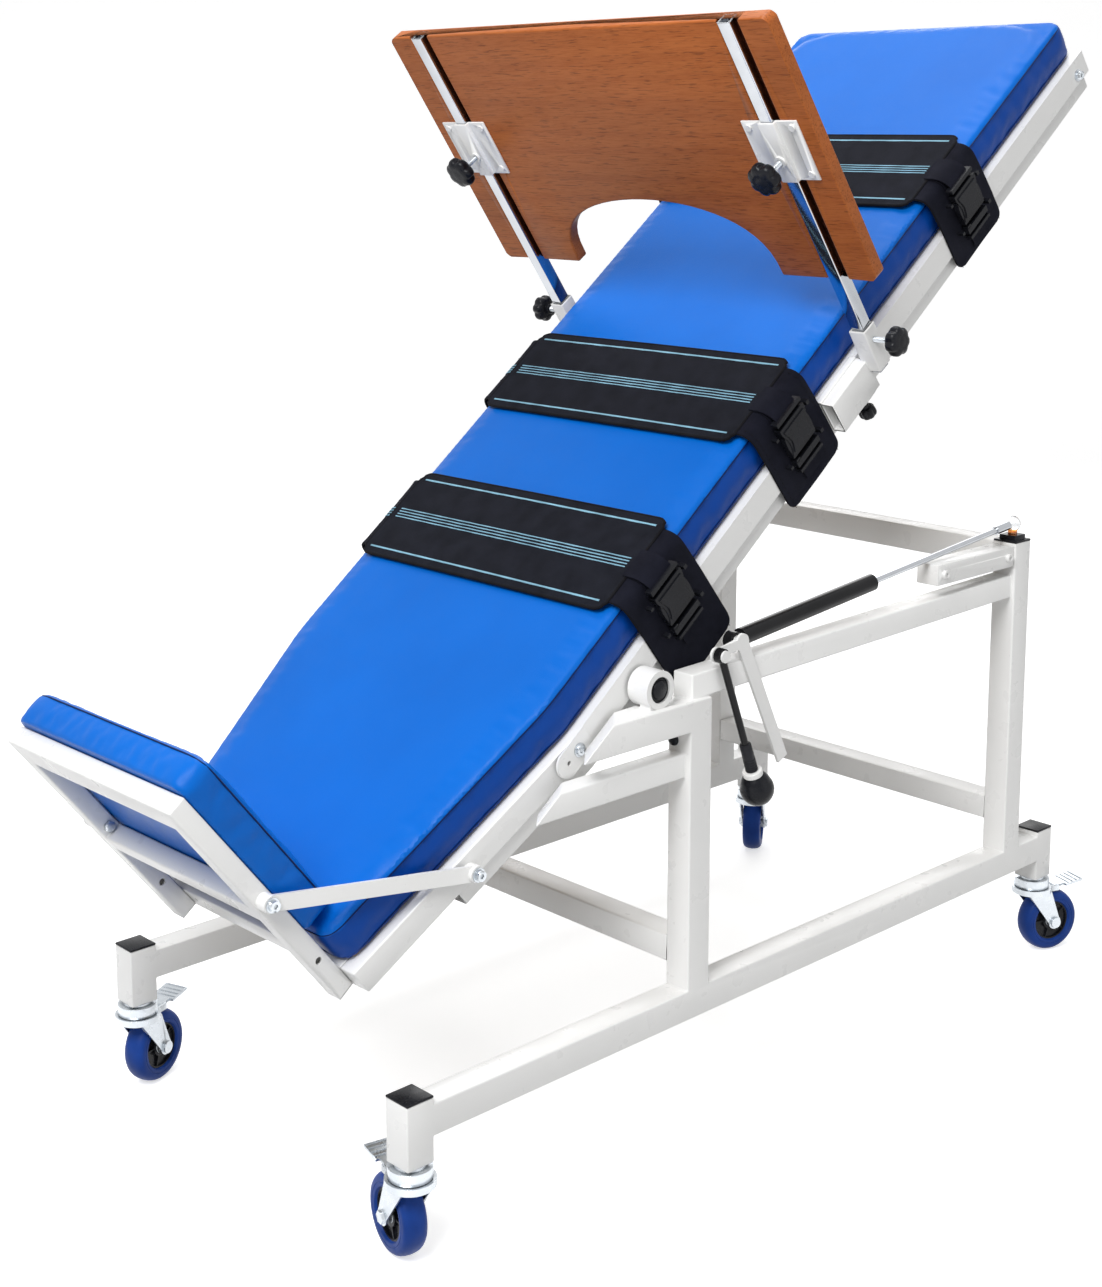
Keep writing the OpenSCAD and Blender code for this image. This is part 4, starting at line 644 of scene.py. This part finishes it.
def hard_pieces():
    for mat, width, segments, nodes in LOOKS:
        for node in nodes:
            softened(node, mat, width, segments)
    rear_caps()
    release_lever()
    softened("pad_board", PLY, 0.0006)
    tray_board()
    for name in CASTORS:
        wheel(name)
    for side in ("near", "far"):
        for row in KNOBS:
            star_knob(side, *row)


# Pads


def rounded(outline, r, steps=8):
    """A convex outline whose corners are rounded over length r, as points."""
    points = []
    count = len(outline)
    for i, q in enumerate(outline):
        p, n = outline[i - 1], outline[(i + 1) % count]
        a = q + (p - q).normalized() * r
        b = q + (n - q).normalized() * r
        for k in range(steps + 1):
            t = k / steps
            points.append(a * (1 - t) ** 2 + q * (2 * t * (1 - t)) + b * t ** 2)
    return points


def half_at(s):
    """Half width over the rails at a place along the table."""
    if s >= KNEE_S:
        return RAIL_HALF
    return FOOT_HALF + (s - FOOT_S) * (RAIL_HALF - FOOT_HALF) / (KNEE_S - FOOT_S)


PAD_S0, PAD_S1 = PAD_LOW[0] + COVER_IN, PAD_HIGH[0] - COVER_IN
PAD_HALF = PAD_HIGH[1] - COVER_IN
RAIL_STEP = RAIL_HALF - PAD_HALF
FOOT_N0, FOOT_N1 = FOOT_LOW[2] + COVER_IN, FOOT_HIGH[2] - COVER_IN
FOOT_Y = FOOT_HIGH[1] - COVER_IN


def table_outline(d):
    """The main pad seen from above, moved in by a distance."""
    foot = half_at(PAD_S0) - RAIL_STEP
    half = [(PAD_S0 + d, foot - d), (KNEE_S, PAD_HALF - d), (PAD_S1 - d, PAD_HALF - d)]
    return [Vector((s, -y)) for s, y in half] + [Vector(p) for p in reversed(half)]


def foot_outline(d):
    """The footboard's pad seen from the table, moved in by a distance."""
    n0, n1, y = FOOT_N0 + d, FOOT_N1 - d, FOOT_Y - d
    return [Vector(p) for p in ((n0, -y), (n1, -y), (n1, y), (n0, y))]


def table_room(q):
    """Distance from a point on the main pad to its nearest side."""
    return min(half_at(q.x) - RAIL_STEP - abs(q.y), q.x - PAD_S0, PAD_S1 - q.x)


def foot_room(q):
    return min(FOOT_Y - abs(q.y), q.x - FOOT_N0, FOOT_N1 - q.x)


def stacked(bm, outline, levels, place, r):
    """Rings of an outline at (inset, height) levels, joined and closed."""
    rows = [[bm.verts.new(place @ Vector((p.x, p.y, h)))
             for p in rounded(outline(d), max(r - 0.4 * d, 0.004))] for d, h in levels]
    skin(bm, rows)
    bm.faces.new(rows[0][::-1])
    bm.faces.new(rows[-1])


CLOTH = {"quality": 4, "mass": 0.2, "use_pressure": True, "uniform_pressure_force": 4.0,
         "tension_stiffness": 12, "compression_stiffness": 12, "shear_stiffness": 5,
         "bending_stiffness": 0.4, "shrink_min": -0.015, "vertex_group_mass": "pins"}


def evaluated(o):
    return o.evaluated_get(bpy.context.evaluated_depsgraph_get())


def blow_up(o, pinned, cap, frames=20):
    """Runs a cloth simulation and keeps its result, moved by no more than the cap."""
    start = [v.co.copy() for v in o.data.vertices]
    group = o.vertex_groups.new(name=CLOTH["vertex_group_mass"])
    for v in o.data.vertices:
        w = pinned(v.co)
        if w > 0:
            group.add([v.index], w, "REPLACE")
    c = o.modifiers.new("cover", "CLOTH")
    for name, value in CLOTH.items():
        setattr(c.settings, name, value)
    c.settings.effector_weights.gravity = 0.0
    c.point_cache.frame_start = 1
    c.point_cache.frame_end = frames
    for f in range(1, frames + 1):
        bpy.context.scene.frame_set(f)
    moved = [v.co.copy() for v in evaluated(o).data.vertices]
    o.modifiers.remove(c)
    bpy.context.scene.frame_set(1)
    for v, a, b in zip(o.data.vertices, start, moved):
        step = b - a
        if step.length > cap:
            step *= cap / step.length
        v.co = a + step


def inflate(o, pinned, cap, voxel):
    """Remeshes a pad, blows its cover up against the pins and smooths it."""
    o.data.remesh_voxel_size = voxel
    bpy.context.view_layer.objects.active = o
    o.select_set(True)
    bpy.ops.object.voxel_remesh()
    blow_up(o, pinned, cap)
    o.select_set(False)
    m = o.modifiers.new("smooth", "SMOOTH")
    m.factor = 0.5
    m.iterations = 3
    me = bpy.data.meshes.new_from_object(evaluated(o))
    o.modifiers.remove(m)
    old = o.data
    o.data = me
    bpy.data.meshes.remove(old)
    for p in o.data.polygons:
        p.use_smooth = True


def cover(node, outline, levels, place, r, mat, room, pinned_to, pinned_from, cap, voxel):
    """A padded cover, pinned below one height and around the rim above another."""
    bm = bmesh.new()
    stacked(bm, outline, levels, place, r)
    o = make(node + "_cover", bm, [mat], "table")
    back = place.inverted()

    def pins(co):
        q = back @ co
        if q.z < pinned_to:
            return 1.0
        return 0.8 if q.z > pinned_from and room(q) < RIM else 0.0

    inflate(o, pins, cap, voxel)
    return o


def dense(path, step):
    out = []
    for i, a in enumerate(path):
        b = path[(i + 1) % len(path)]
        n = max(1, int((b - a).length / step))
        out += [a + (b - a) * (k / n) for k in range(n)]
    return out


def welt(name, o, outline, height, place, r, radius, sink):
    """A piping around a pad at a height, pulled onto the pad's surface, in a dark blue that is painted shade of
    the seam.
    """
    path = dense([place @ Vector((p.x, p.y, height)) for p in rounded(outline(WELT_IN), r)],
                 WELT_STEP)
    bm = bmesh.new()
    bm.from_mesh(o.data)
    tree = BVHTree.FromBMesh(bm)
    bm.free()
    points = []
    for p in path:
        spot, normal, _, _ = tree.find_nearest(p)
        points.append(spot + normal * (radius - sink))
    for _ in range(6):
        points = [(points[i - 1] + 2 * q + points[(i + 1) % len(points)]) / 4
                  for i, q in enumerate(points)]
    bm = bmesh.new()
    tube_between(bm, points, radius, 6, True)
    make(name, bm, [SEAM_SHADE_BLUE], "table")


def main_pad():
    levels = [(0.004, 0.0380), (0.002, 0.0450), (0.0014, 0.066), (0.0020, 0.086),
              (0.0035, 0.0915), (0.0080, 0.0945), (0.030, 0.0960), (0.080, 0.0966)]
    o = cover("main_pad", table_outline, levels, TABLE, 0.024, PAD_VINYL_SIDE_SHADE, table_room,
              pinned_to=0.041, pinned_from=0.088, cap=0.0042, voxel=0.006)
    welt("main_pad_welt", o, table_outline, 0.0880, TABLE, 0.022, radius=0.0010, sink=0.0004)
    welt("main_pad_hem", o, table_outline, 0.0435, TABLE, 0.022, radius=0.0009, sink=0.0004)
    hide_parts("main_pad")


def footboard_pad():
    swap = Matrix(((0, 0, 1, 0), (0, 1, 0, 0), (1, 0, 0, 0), (0, 0, 0, 1)))
    place = TABLE @ Matrix.Translation((FOOT_S, 0, 0)) @ swap
    levels = [(0.004, 0.0010), (0.002, 0.006), (0.0014, 0.024), (0.0020, 0.039),
              (0.0035, 0.0440), (0.0080, 0.0475), (0.024, 0.0495), (0.060, 0.0505)]
    o = cover("footboard_pad", foot_outline, levels, place, 0.022, VINYL, foot_room,
              pinned_to=0.004, pinned_from=0.041, cap=0.0040, voxel=0.005)
    welt("footboard_pad_welt", o, foot_outline, 0.0420, place, 0.021, radius=0.0011, sink=0.0005)
    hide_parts("footboard_pad")


# Belts: ways are lists of (y, n) points in the table's cross-section


def smooth_way(points, r, steps):
    """A polyline whose inner corners are rounded."""
    out = [Vector(points[0])]
    for i in range(1, len(points) - 1):
        a, q, b = Vector(points[i - 1]), Vector(points[i]), Vector(points[i + 1])
        u = min(r, 0.45 * (a - q).length)
        w = min(r, 0.45 * (b - q).length)
        p, n = q + (a - q).normalized() * u, q + (b - q).normalized() * w
        for k in range(steps + 1):
            t = k / steps
            out.append(p * (1 - t) ** 2 + q * (2 * t * (1 - t)) + n * t ** 2)
    out.append(Vector(points[-1]))
    return out


def even(points, step):
    """Points at even spacing along a polyline, each with its outward normal and distance."""
    spans = [(b - a).length for a, b in zip(points, points[1:])]
    total = sum(spans)
    count = max(2, int(round(total / step)))
    out = []
    for k in range(count + 1):
        want = total * k / count
        i = 0
        while i < len(spans) - 1 and want > spans[i]:
            want -= spans[i]
            i += 1
        a, b = points[i], points[i + 1]
        d = (b - a).normalized()
        out.append((a + (b - a) * min(1.0, want / spans[i]), Vector((-d.y, d.x)),
                    total * k / count))
    smooth = []
    for k, (p, n, u) in enumerate(out):
        m = n + out[max(k - 1, 0)][1] + out[min(k + 1, count)][1]
        smooth.append((p, m.normalized(), u))
    return smooth


def way_of(points, step, r=0.010, steps=4):
    return even(smooth_way(points, r, steps), step)


def mirrored(points):
    return [(-y, n) for y, n in points]


def uv_layer(bm):
    return bm.loops.layers.uv.get("UVMap") or bm.loops.layers.uv.new("UVMap")


def uv_face(bm, verts, uvs):
    f = bm.faces.new(verts)
    uv = uv_layer(bm)
    for loop, c in zip(f.loops, uvs):
        loop[uv].uv = c


def band(bm, way, s, width, t, lift, ends=(0.0, 0.0), wave=0.0, cols=12, edge=0.0):
    """A strap of a width along a way, with UVs in metres. ends are the lengths over which
    it narrows to round corners, wave the height of its ripples and edge a thicker hem."""
    uv_layer(bm)
    total = way[-1][2]
    grid = {}
    for i, (p, n, u) in enumerate(way):
        w = width / 2
        for end, room in ((ends[0], u), (ends[1], total - u)):
            if end > 0 and room < end:
                w -= end - math.sqrt(max(end * end - (end - room) ** 2, 0.0))
        for j in range(cols + 1):
            v = -w + 2 * w * j / cols
            hem = edge if min(w - abs(v), u, total - u) < 0.007 else 0.0
            ripple = wave * math.sin(u * 140 + 5 * s) * math.sin(v * 60 + 1.3)
            for side, h in ((0, lift), (1, lift + t + hem)):
                q = p + n * (h + (ripple if side else 0.4 * ripple))
                grid[i, j, side] = bm.verts.new(TABLE @ Vector((s + v, q.x, q.y)))

    def face(keys, uvs):
        uv_face(bm, [grid[k] for k in keys], uvs)

    rows = len(way)
    for i in range(rows - 1):
        u0, u1 = way[i][2], way[i + 1][2]
        for j in range(cols):
            v0, v1 = width * j / cols, width * (j + 1) / cols
            for side in (0, 1):
                face([(i, j, side), (i + 1, j, side), (i + 1, j + 1, side), (i, j + 1, side)],
                     [(u0, v0), (u1, v0), (u1, v1), (u0, v1)])
        for j in (0, cols):
            face([(i, j, 0), (i, j, 1), (i + 1, j, 1), (i + 1, j, 0)],
                 [(u0, 0), (u0, t), (u1, t), (u1, 0)])
    for i in (0, rows - 1):
        for j in range(cols):
            face([(i, j, 0), (i, j + 1, 0), (i, j + 1, 1), (i, j, 1)],
                 [(0, 0), (0.01, 0), (0.01, t), (0, t)])


def line_on(bm, way, s, v, radius, lift, dash=None):
    """A thread or piping along a band at distance v from its middle."""
    run = []
    for p, n, u in way:
        if dash and int(u / dash) % 2:
            if len(run) > 1:
                tube_between(bm, run, radius, 5)
            run = []
            continue
        q = p + n * lift
        run.append(TABLE @ Vector((s + v, q.x, q.y)))
    if len(run) > 1:
        tube_between(bm, run, radius, 5)


def stripe_on(bm, way, s, v, width, lift):
    """A flat stripe woven or sewn on a band."""
    uv_layer(bm)
    last = None
    for p, n, u in way:
        row = []
        for off, h in ((-0.5, 0.0), (-0.3, 0.0005), (0.3, 0.0005), (0.5, 0.0)):
            q = p + n * (lift - 0.0003 + h)
            row.append(bm.verts.new(TABLE @ Vector((s + v + off * width, q.x, q.y))))
        if last:
            before, u0 = last
            for k in range(3):
                v0, v1 = k * width / 3, (k + 1) * width / 3
                uv_face(bm, (before[k], row[k], row[k + 1], before[k + 1]),
                        ((u0, v0), (u, v0), (u, v1), (u0, v1)))
        last = (row, u)


def belt_outline(way, half, end, steps=6):
    """Points (place, normal, distance sideways) around a belt with rounded corners."""
    total = way[-1][2]
    inner = [k for k in way if end <= k[2] <= total - end]
    out = [(p, n, -half) for p, n, _ in inner]
    turns = list(range(1, steps))
    for far, first in ((True, -1), (False, 1)):
        for side, order in ((first, turns), (-first, turns[::-1])):
            for k in order:
                a = math.radians(90.0 * k / steps)
                reach = end * math.sin(a)
                u = total - end + reach if far else end - reach
                p, n, _ = min(way, key=lambda item: abs(item[2] - u))
                out.append((p, n, side * (half - end * (1 - math.cos(a)))))
        if far:
            out += [(p, n, half) for p, n, _ in reversed(inner)]
    return out


def belt_pad(level):
    s = middle("belt_pad_" + level, TABLE, 0)
    half, end, rim_r = 0.079, 0.018, 0.0022
    way = way_of([(-SEAM_Y, 0.1032), (0.0, 0.1042), (SEAM_Y, 0.1032)], 0.004, 0.05, 6)
    bm = bmesh.new()
    band(bm, way, s, 2 * half, 0.0032, 0.0006, (end, end), 0.00012, 40)
    o = make("belt_pad_cloth_" + level, bm, [PAD_CLOTH], "table", 40)
    bm = bmesh.new()
    rim = []
    for p, n, v in belt_outline(way, half, end):
        q = p + n * rim_r
        rim.append(TABLE @ Vector((s + v, q.x, q.y)))
    tube_between(bm, rim, rim_r, 8, True)
    make("belt_binding_" + level, bm, [BINDING], "table")
    bm = bmesh.new()
    inner = [k for k in way if 0.010 <= k[2] <= way[-1][2] - 0.010]
    for v in (-0.066, 0.066):
        stripe_on(bm, inner, s, v, 0.0034, 0.0039)
    for v in STRIPES:
        stripe_on(bm, inner, s, v, 0.0022, 0.0039)
    make("belt_stripes_" + level, bm, [STRIPE], "table")
    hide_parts("belt_pad_" + level)


def belt_webs(level, s):
    """Webbing over the near end, its loop through the buckle and its short tail below."""
    over = [(-0.2710, 0.001), (-0.2710, 0.040), (-0.2686, 0.0895), (-0.2635, 0.0990),
            (-0.2550, 0.1040), (-SEAM_Y, 0.1050)]
    loop = [(-0.2790, 0.0835), (-0.2780, 0.0930), (-0.2705, 0.1020), (-0.2590, 0.1074),
            (-SEAM_Y + 0.004, 0.1078)]
    tail = [(-0.2722, -0.024), (-0.2724, -0.006), (-0.2765, 0.0050), (-0.2768, 0.012)]
    bm = bmesh.new()
    band(bm, way_of(over, 0.003), s, WEB_W, 0.0016, 0.0002, wave=0.0001, cols=14)
    band(bm, way_of(loop, 0.0025, 0.009, 5), s, WEB_W, 0.0016, 0.0, wave=0.0001, cols=14)
    band(bm, way_of(tail, 0.0025, 0.006), s, 0.034, 0.0015, 0.0, (0.004, 0.0), 0.0001, 10)
    make("belt_web_" + level, bm, [WEBBING], "table", 40)


def belt_strap(level):
    low, high = span("belt_strap_" + level, TABLE)
    s = (low[0] + high[0]) / 2
    w = high[0] - low[0] - COVER_IN
    corner, hem_in, web_in = 0.014, 0.0075, 0.024
    under = [(-RAIL_HALF, 0.038), (-0.2656, 0.0890), (-0.2610, 0.0970), (-0.2539, 0.1016),
             (-SEAM_Y + 0.009, 0.1040)]
    flap = way_of([(-RAIL_HALF, low[2])] + under, 0.003)
    far = way_of(mirrored([(-RAIL_HALF, -0.004)] + under)[::-1], 0.003)
    bm = bmesh.new()
    band(bm, flap, s, w, 0.0022, 0.0002, (corner, 0.0), 0.00035, 32, 0.0006)
    band(bm, far, s, w, 0.0022, 0.0002, (0.0, corner), 0.00030, 32, 0.0006)
    o = make("belt_flap_" + level, bm, [WEBBING], "table", 40)
    belt_webs(level, s)
    bm = bmesh.new()
    for way in (flap, far):
        for v in (hem_in - w / 2, w / 2 - hem_in):
            line_on(bm, way, s, v, 0.00045, 0.0031, 0.0045)
        rim = [k for k in way if k[2] > (corner if way is flap else 0.0)
               and way[-1][2] - k[2] > (corner if way is far else 0.0)]
        for v in (-w / 2, w / 2):
            line_on(bm, rim, s, v, 0.0014, 0.0012)
    for v in (-web_in, web_in):
        line_on(bm, [k for k in far if k[2] < 0.09], s, v, 0.0004, 0.0027, 0.005)
    make("belt_thread_" + level, bm, [BINDING], "table")
    bm = bmesh.new()
    for v in STRIPES:
        stripe_on(bm, far[3:-4], s, v, 0.0021, 0.0029)
    make("belt_far_stripes_" + level, bm, [STRIPE], "table")
    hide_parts("belt_strap_" + level)


# Buckles


def clip(points, i, low, high):
    """The part of a convex outline between two values of its coordinate i."""
    for value, keep in ((low, 1), (high, -1)):
        kept = []
        for k, p in enumerate(points):
            q = points[(k + 1) % len(points)]
            p_in, q_in = keep * (p[i] - value) >= 0, keep * (q[i] - value) >= 0
            if p_in:
                kept.append(p)
            if p_in != q_in:
                t = (value - p[i]) / (q[i] - p[i])
                kept.append(tuple(value if c == i else p[c] + (q[c] - p[c]) * t for c in (0, 1)))
        points = kept
    return points


def plate(bm, outline, z0, z1, place, holes=(), skin_t=0.001):
    """An outline of a thickness, with slots (x0, x1, y0, y1) whose floor is a thin skin. The
    two blocks of each slot have x and y exchanged, so they lie beside the plate."""
    cuts = sorted(holes, key=lambda h: h[2])
    beyond = 1.0
    edges = [-beyond] + [v for h in cuts for v in (h[2], h[3])] + [beyond]
    for k, (y0, y1) in enumerate(zip(edges, edges[1:])):
        piece = clip(outline, 1, y0, y1)
        if k % 2 == 0:
            prism(bm, piece, z0, z1, place)
            continue
        x0, x1 = cuts[k // 2][:2]
        for bar in ((-beyond, x0), (x1, beyond)):
            prism(bm, [(y, x) for x, y in clip(piece, 0, *bar)], z0, z1, place)
        prism(bm, [(x0, y0), (x1, y0), (x1, y1), (x0, y1)], z0, z0 + skin_t, place)


def both_sides(half):
    """A closed outline from its right half, read from the top down."""
    return (half + [(-x, y) for x, y in reversed(half)])[::-1]


def buckle(level):
    """A side-release buckle lying on the webbing, clipped shut."""
    node = "buckle_" + level
    origin = (middle(node, TABLE, 0), span("belt_strap_" + level, TABLE)[0][1] - 0.0002,
              middle(node, TABLE, 2))
    outwards = Matrix(((1, 0, 0, 0), (0, 0, -1, 0), (0, 1, 0, 0), (0, 0, 0, 1)))
    place = TABLE @ Matrix.Translation(origin) @ outwards
    half_w, slot = 0.0275, 0.0235
    body = [(0.0280, 0.0455), (0.0290, 0.0440), (0.0290, 0.0270), (0.0272, 0.0205),
            (0.0246, 0.0150), (0.0230, 0.0070), (0.0234, -0.0010), (0.0250, -0.0075),
            (0.0278, -0.0130)]
    panel = [(x - 0.0045, min(y, 0.0300) if y > 0 else y + 0.0040) for x, y in body[2:]]
    prong = [(0.0284, 0.0120), (0.0262, 0.0190), (0.0205, 0.0190), (0.0200, -0.0110),
             (0.0278, -0.0110), (0.0290, 0.0010)]
    bm = bmesh.new()
    plate(bm, [(-half_w, -0.006), (half_w, -0.006), (half_w, -0.0455), (-half_w, -0.0455)],
          0.0, 0.0095, place, [(-slot, slot, -0.0410, -0.0355), (-slot, slot, -0.0265, -0.0180)])
    plate(bm, both_sides(body), 0.0, 0.0112, place, [(-slot, slot, 0.0335, 0.0395)])
    plate(bm, both_sides(panel), 0.0105, 0.0128, place)
    plate(bm, [(-x, y) for x, y in reversed(prong)], 0.0022, 0.0100, place)
    plate(bm, prong, 0.0022, 0.0100, place)
    bevel_edges(bm, 0.0009, 2)
    o = make("buckle_shell_" + level, bm, [BLACK], "table")
    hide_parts("buckle_" + level)


# Stage, lights and camera


PHOTO_AZIMUTH = math.radians(-43.0)


def seen_rays(t):
    """1 for rays of the camera, of mirrors and through glass; 0 for the light on the object."""
    path = add(t, "ShaderNodeLightPath")
    most = path.outputs["Is Camera Ray"]
    for name in ("Is Glossy Ray", "Is Transmission Ray"):
        larger = add(t, "ShaderNodeMath", operation="MAXIMUM")
        t.links.new(most, larger.inputs[0])
        t.links.new(path.outputs[name], larger.inputs[1])
        most = larger.outputs[0]
    return most


def seen_or_lit(t, seen, lit, target):
    """Shows one shader and lights the object with another."""
    pick = add(t, "ShaderNodeMixShader")
    t.links.new(seen_rays(t), pick.inputs[0])
    t.links.new(lit.outputs[0], pick.inputs[1])
    t.links.new(seen.outputs[0], pick.inputs[2])
    t.links.new(pick.outputs[0], target)


def floor_material():
    m, t, b = material("floor")
    put(b, Roughness=0.9, Specular_IOR_Level=0.1)
    stops = [(0.3, (0.80, 0.80, 0.80)), (0.7, (0.82, 0.82, 0.82))]
    t.links.new(ramp(t, noise(t, coords(t), 2.0), stops), b.inputs["Base Color"])
    glow = put(add(t, "ShaderNodeEmission"), Color=(1.0, 1.0, 1.0, 1.0), Strength=0.62)
    both = add(t, "ShaderNodeAddShader")
    bounce = put(add(t, "ShaderNodeBsdfDiffuse"), Color=(0.50, 0.50, 0.50, 1.0))
    t.links.new(b.outputs[0], both.inputs[0])
    t.links.new(glow.outputs[0], both.inputs[1])
    out = [n for n in t.nodes if n.type == "OUTPUT_MATERIAL"][0]
    seen_or_lit(t, both, bounce, out.inputs[0])
    return m


def stage():
    """A floor that curves up behind the object, square to the photo's view."""
    size, back, rise, curve = 9.0, 5.0, 7.0, 2.0
    bend = [math.radians(9 * k) for k in range(1, 11)]
    rows = [(-size, 0.0), (back, 0.0)]
    rows += [(back + curve * math.sin(a), curve - curve * math.cos(a)) for a in bend]
    rows.append((back + curve, rise))
    turn = Matrix.Rotation(PHOTO_AZIMUTH, 4, "Z")
    bm = bmesh.new()
    made = [[bm.verts.new(turn @ Vector((x, y, z))) for x in (-size, size)] for y, z in rows]
    for a, b in zip(made, made[1:]):
        bm.faces.new((a[0], a[1], b[1], b[0]))
    me = bpy.data.meshes.new("floor")
    bm.to_mesh(me)
    bm.free()
    for p in me.polygons:
        p.use_smooth = True
    me.materials.append(floor_material())
    o = bpy.data.objects.new("floor", me)
    bpy.context.scene.collection.objects.link(o)


def lamp(name, loc, target, size, power):
    d = bpy.data.lights.new(name, "AREA")
    d.shape = "SQUARE"
    d.size = size
    d.energy = power
    o = bpy.data.objects.new(name, d)
    o.location = loc
    o.rotation_euler = (Vector(target) - Vector(loc)).to_track_quat("-Z", "Y").to_euler()
    bpy.context.scene.collection.objects.link(o)


def lights():
    lamp("key", (-2.9, -1.2, 3.6), (0.1, 0, 0.7), size=2.0, power=158)
    lamp("fill", (1.0, -4.0, 1.6), (0.1, 0, 0.6), size=3.0, power=16)
    lamp("top", (0.6, 0.6, 4.2), (0.1, 0, 0.6), size=2.6, power=62)
    lamp("rim", (2.8, 2.2, 2.2), (0.1, 0, 0.9), size=2.0, power=25)
    w = bpy.data.worlds.new("world")
    w.use_nodes = True
    t = w.node_tree
    lit = put(t.nodes["Background"], Color=(1, 1, 1, 1), Strength=0.36)
    seen = put(add(t, "ShaderNodeBackground"), Color=(1, 1, 1, 1))
    seen_or_lit(t, seen, lit, t.nodes["World Output"].inputs["Surface"])
    bpy.context.scene.world = w
    bpy.context.scene.view_settings.view_transform = "Standard"


def camera():
    """The photo's view: yaw from the X axis and pitch downwards, in radians."""
    yaw, pitch = 0.81225, 0.16175
    d = bpy.data.cameras.new("camera")
    d.sensor_width = 36.0
    d.lens = 54.565
    d.shift_y = -0.15
    o = bpy.data.objects.new("camera", d)
    o.location = (-1.9121, -1.9303, 1.3057)
    ahead = Vector((math.cos(yaw) * math.cos(pitch), math.sin(yaw) * math.cos(pitch),
                    -math.sin(pitch)))
    o.rotation_euler = ahead.to_track_quat("-Z", "Y").to_euler()
    bpy.context.scene.collection.objects.link(o)
    bpy.context.scene.camera = o


hard_pieces()
main_pad()
footboard_pad()
for level in BELTS:
    belt_pad(level)
    belt_strap(level)
    buckle(level)
stage()
lights()
camera()
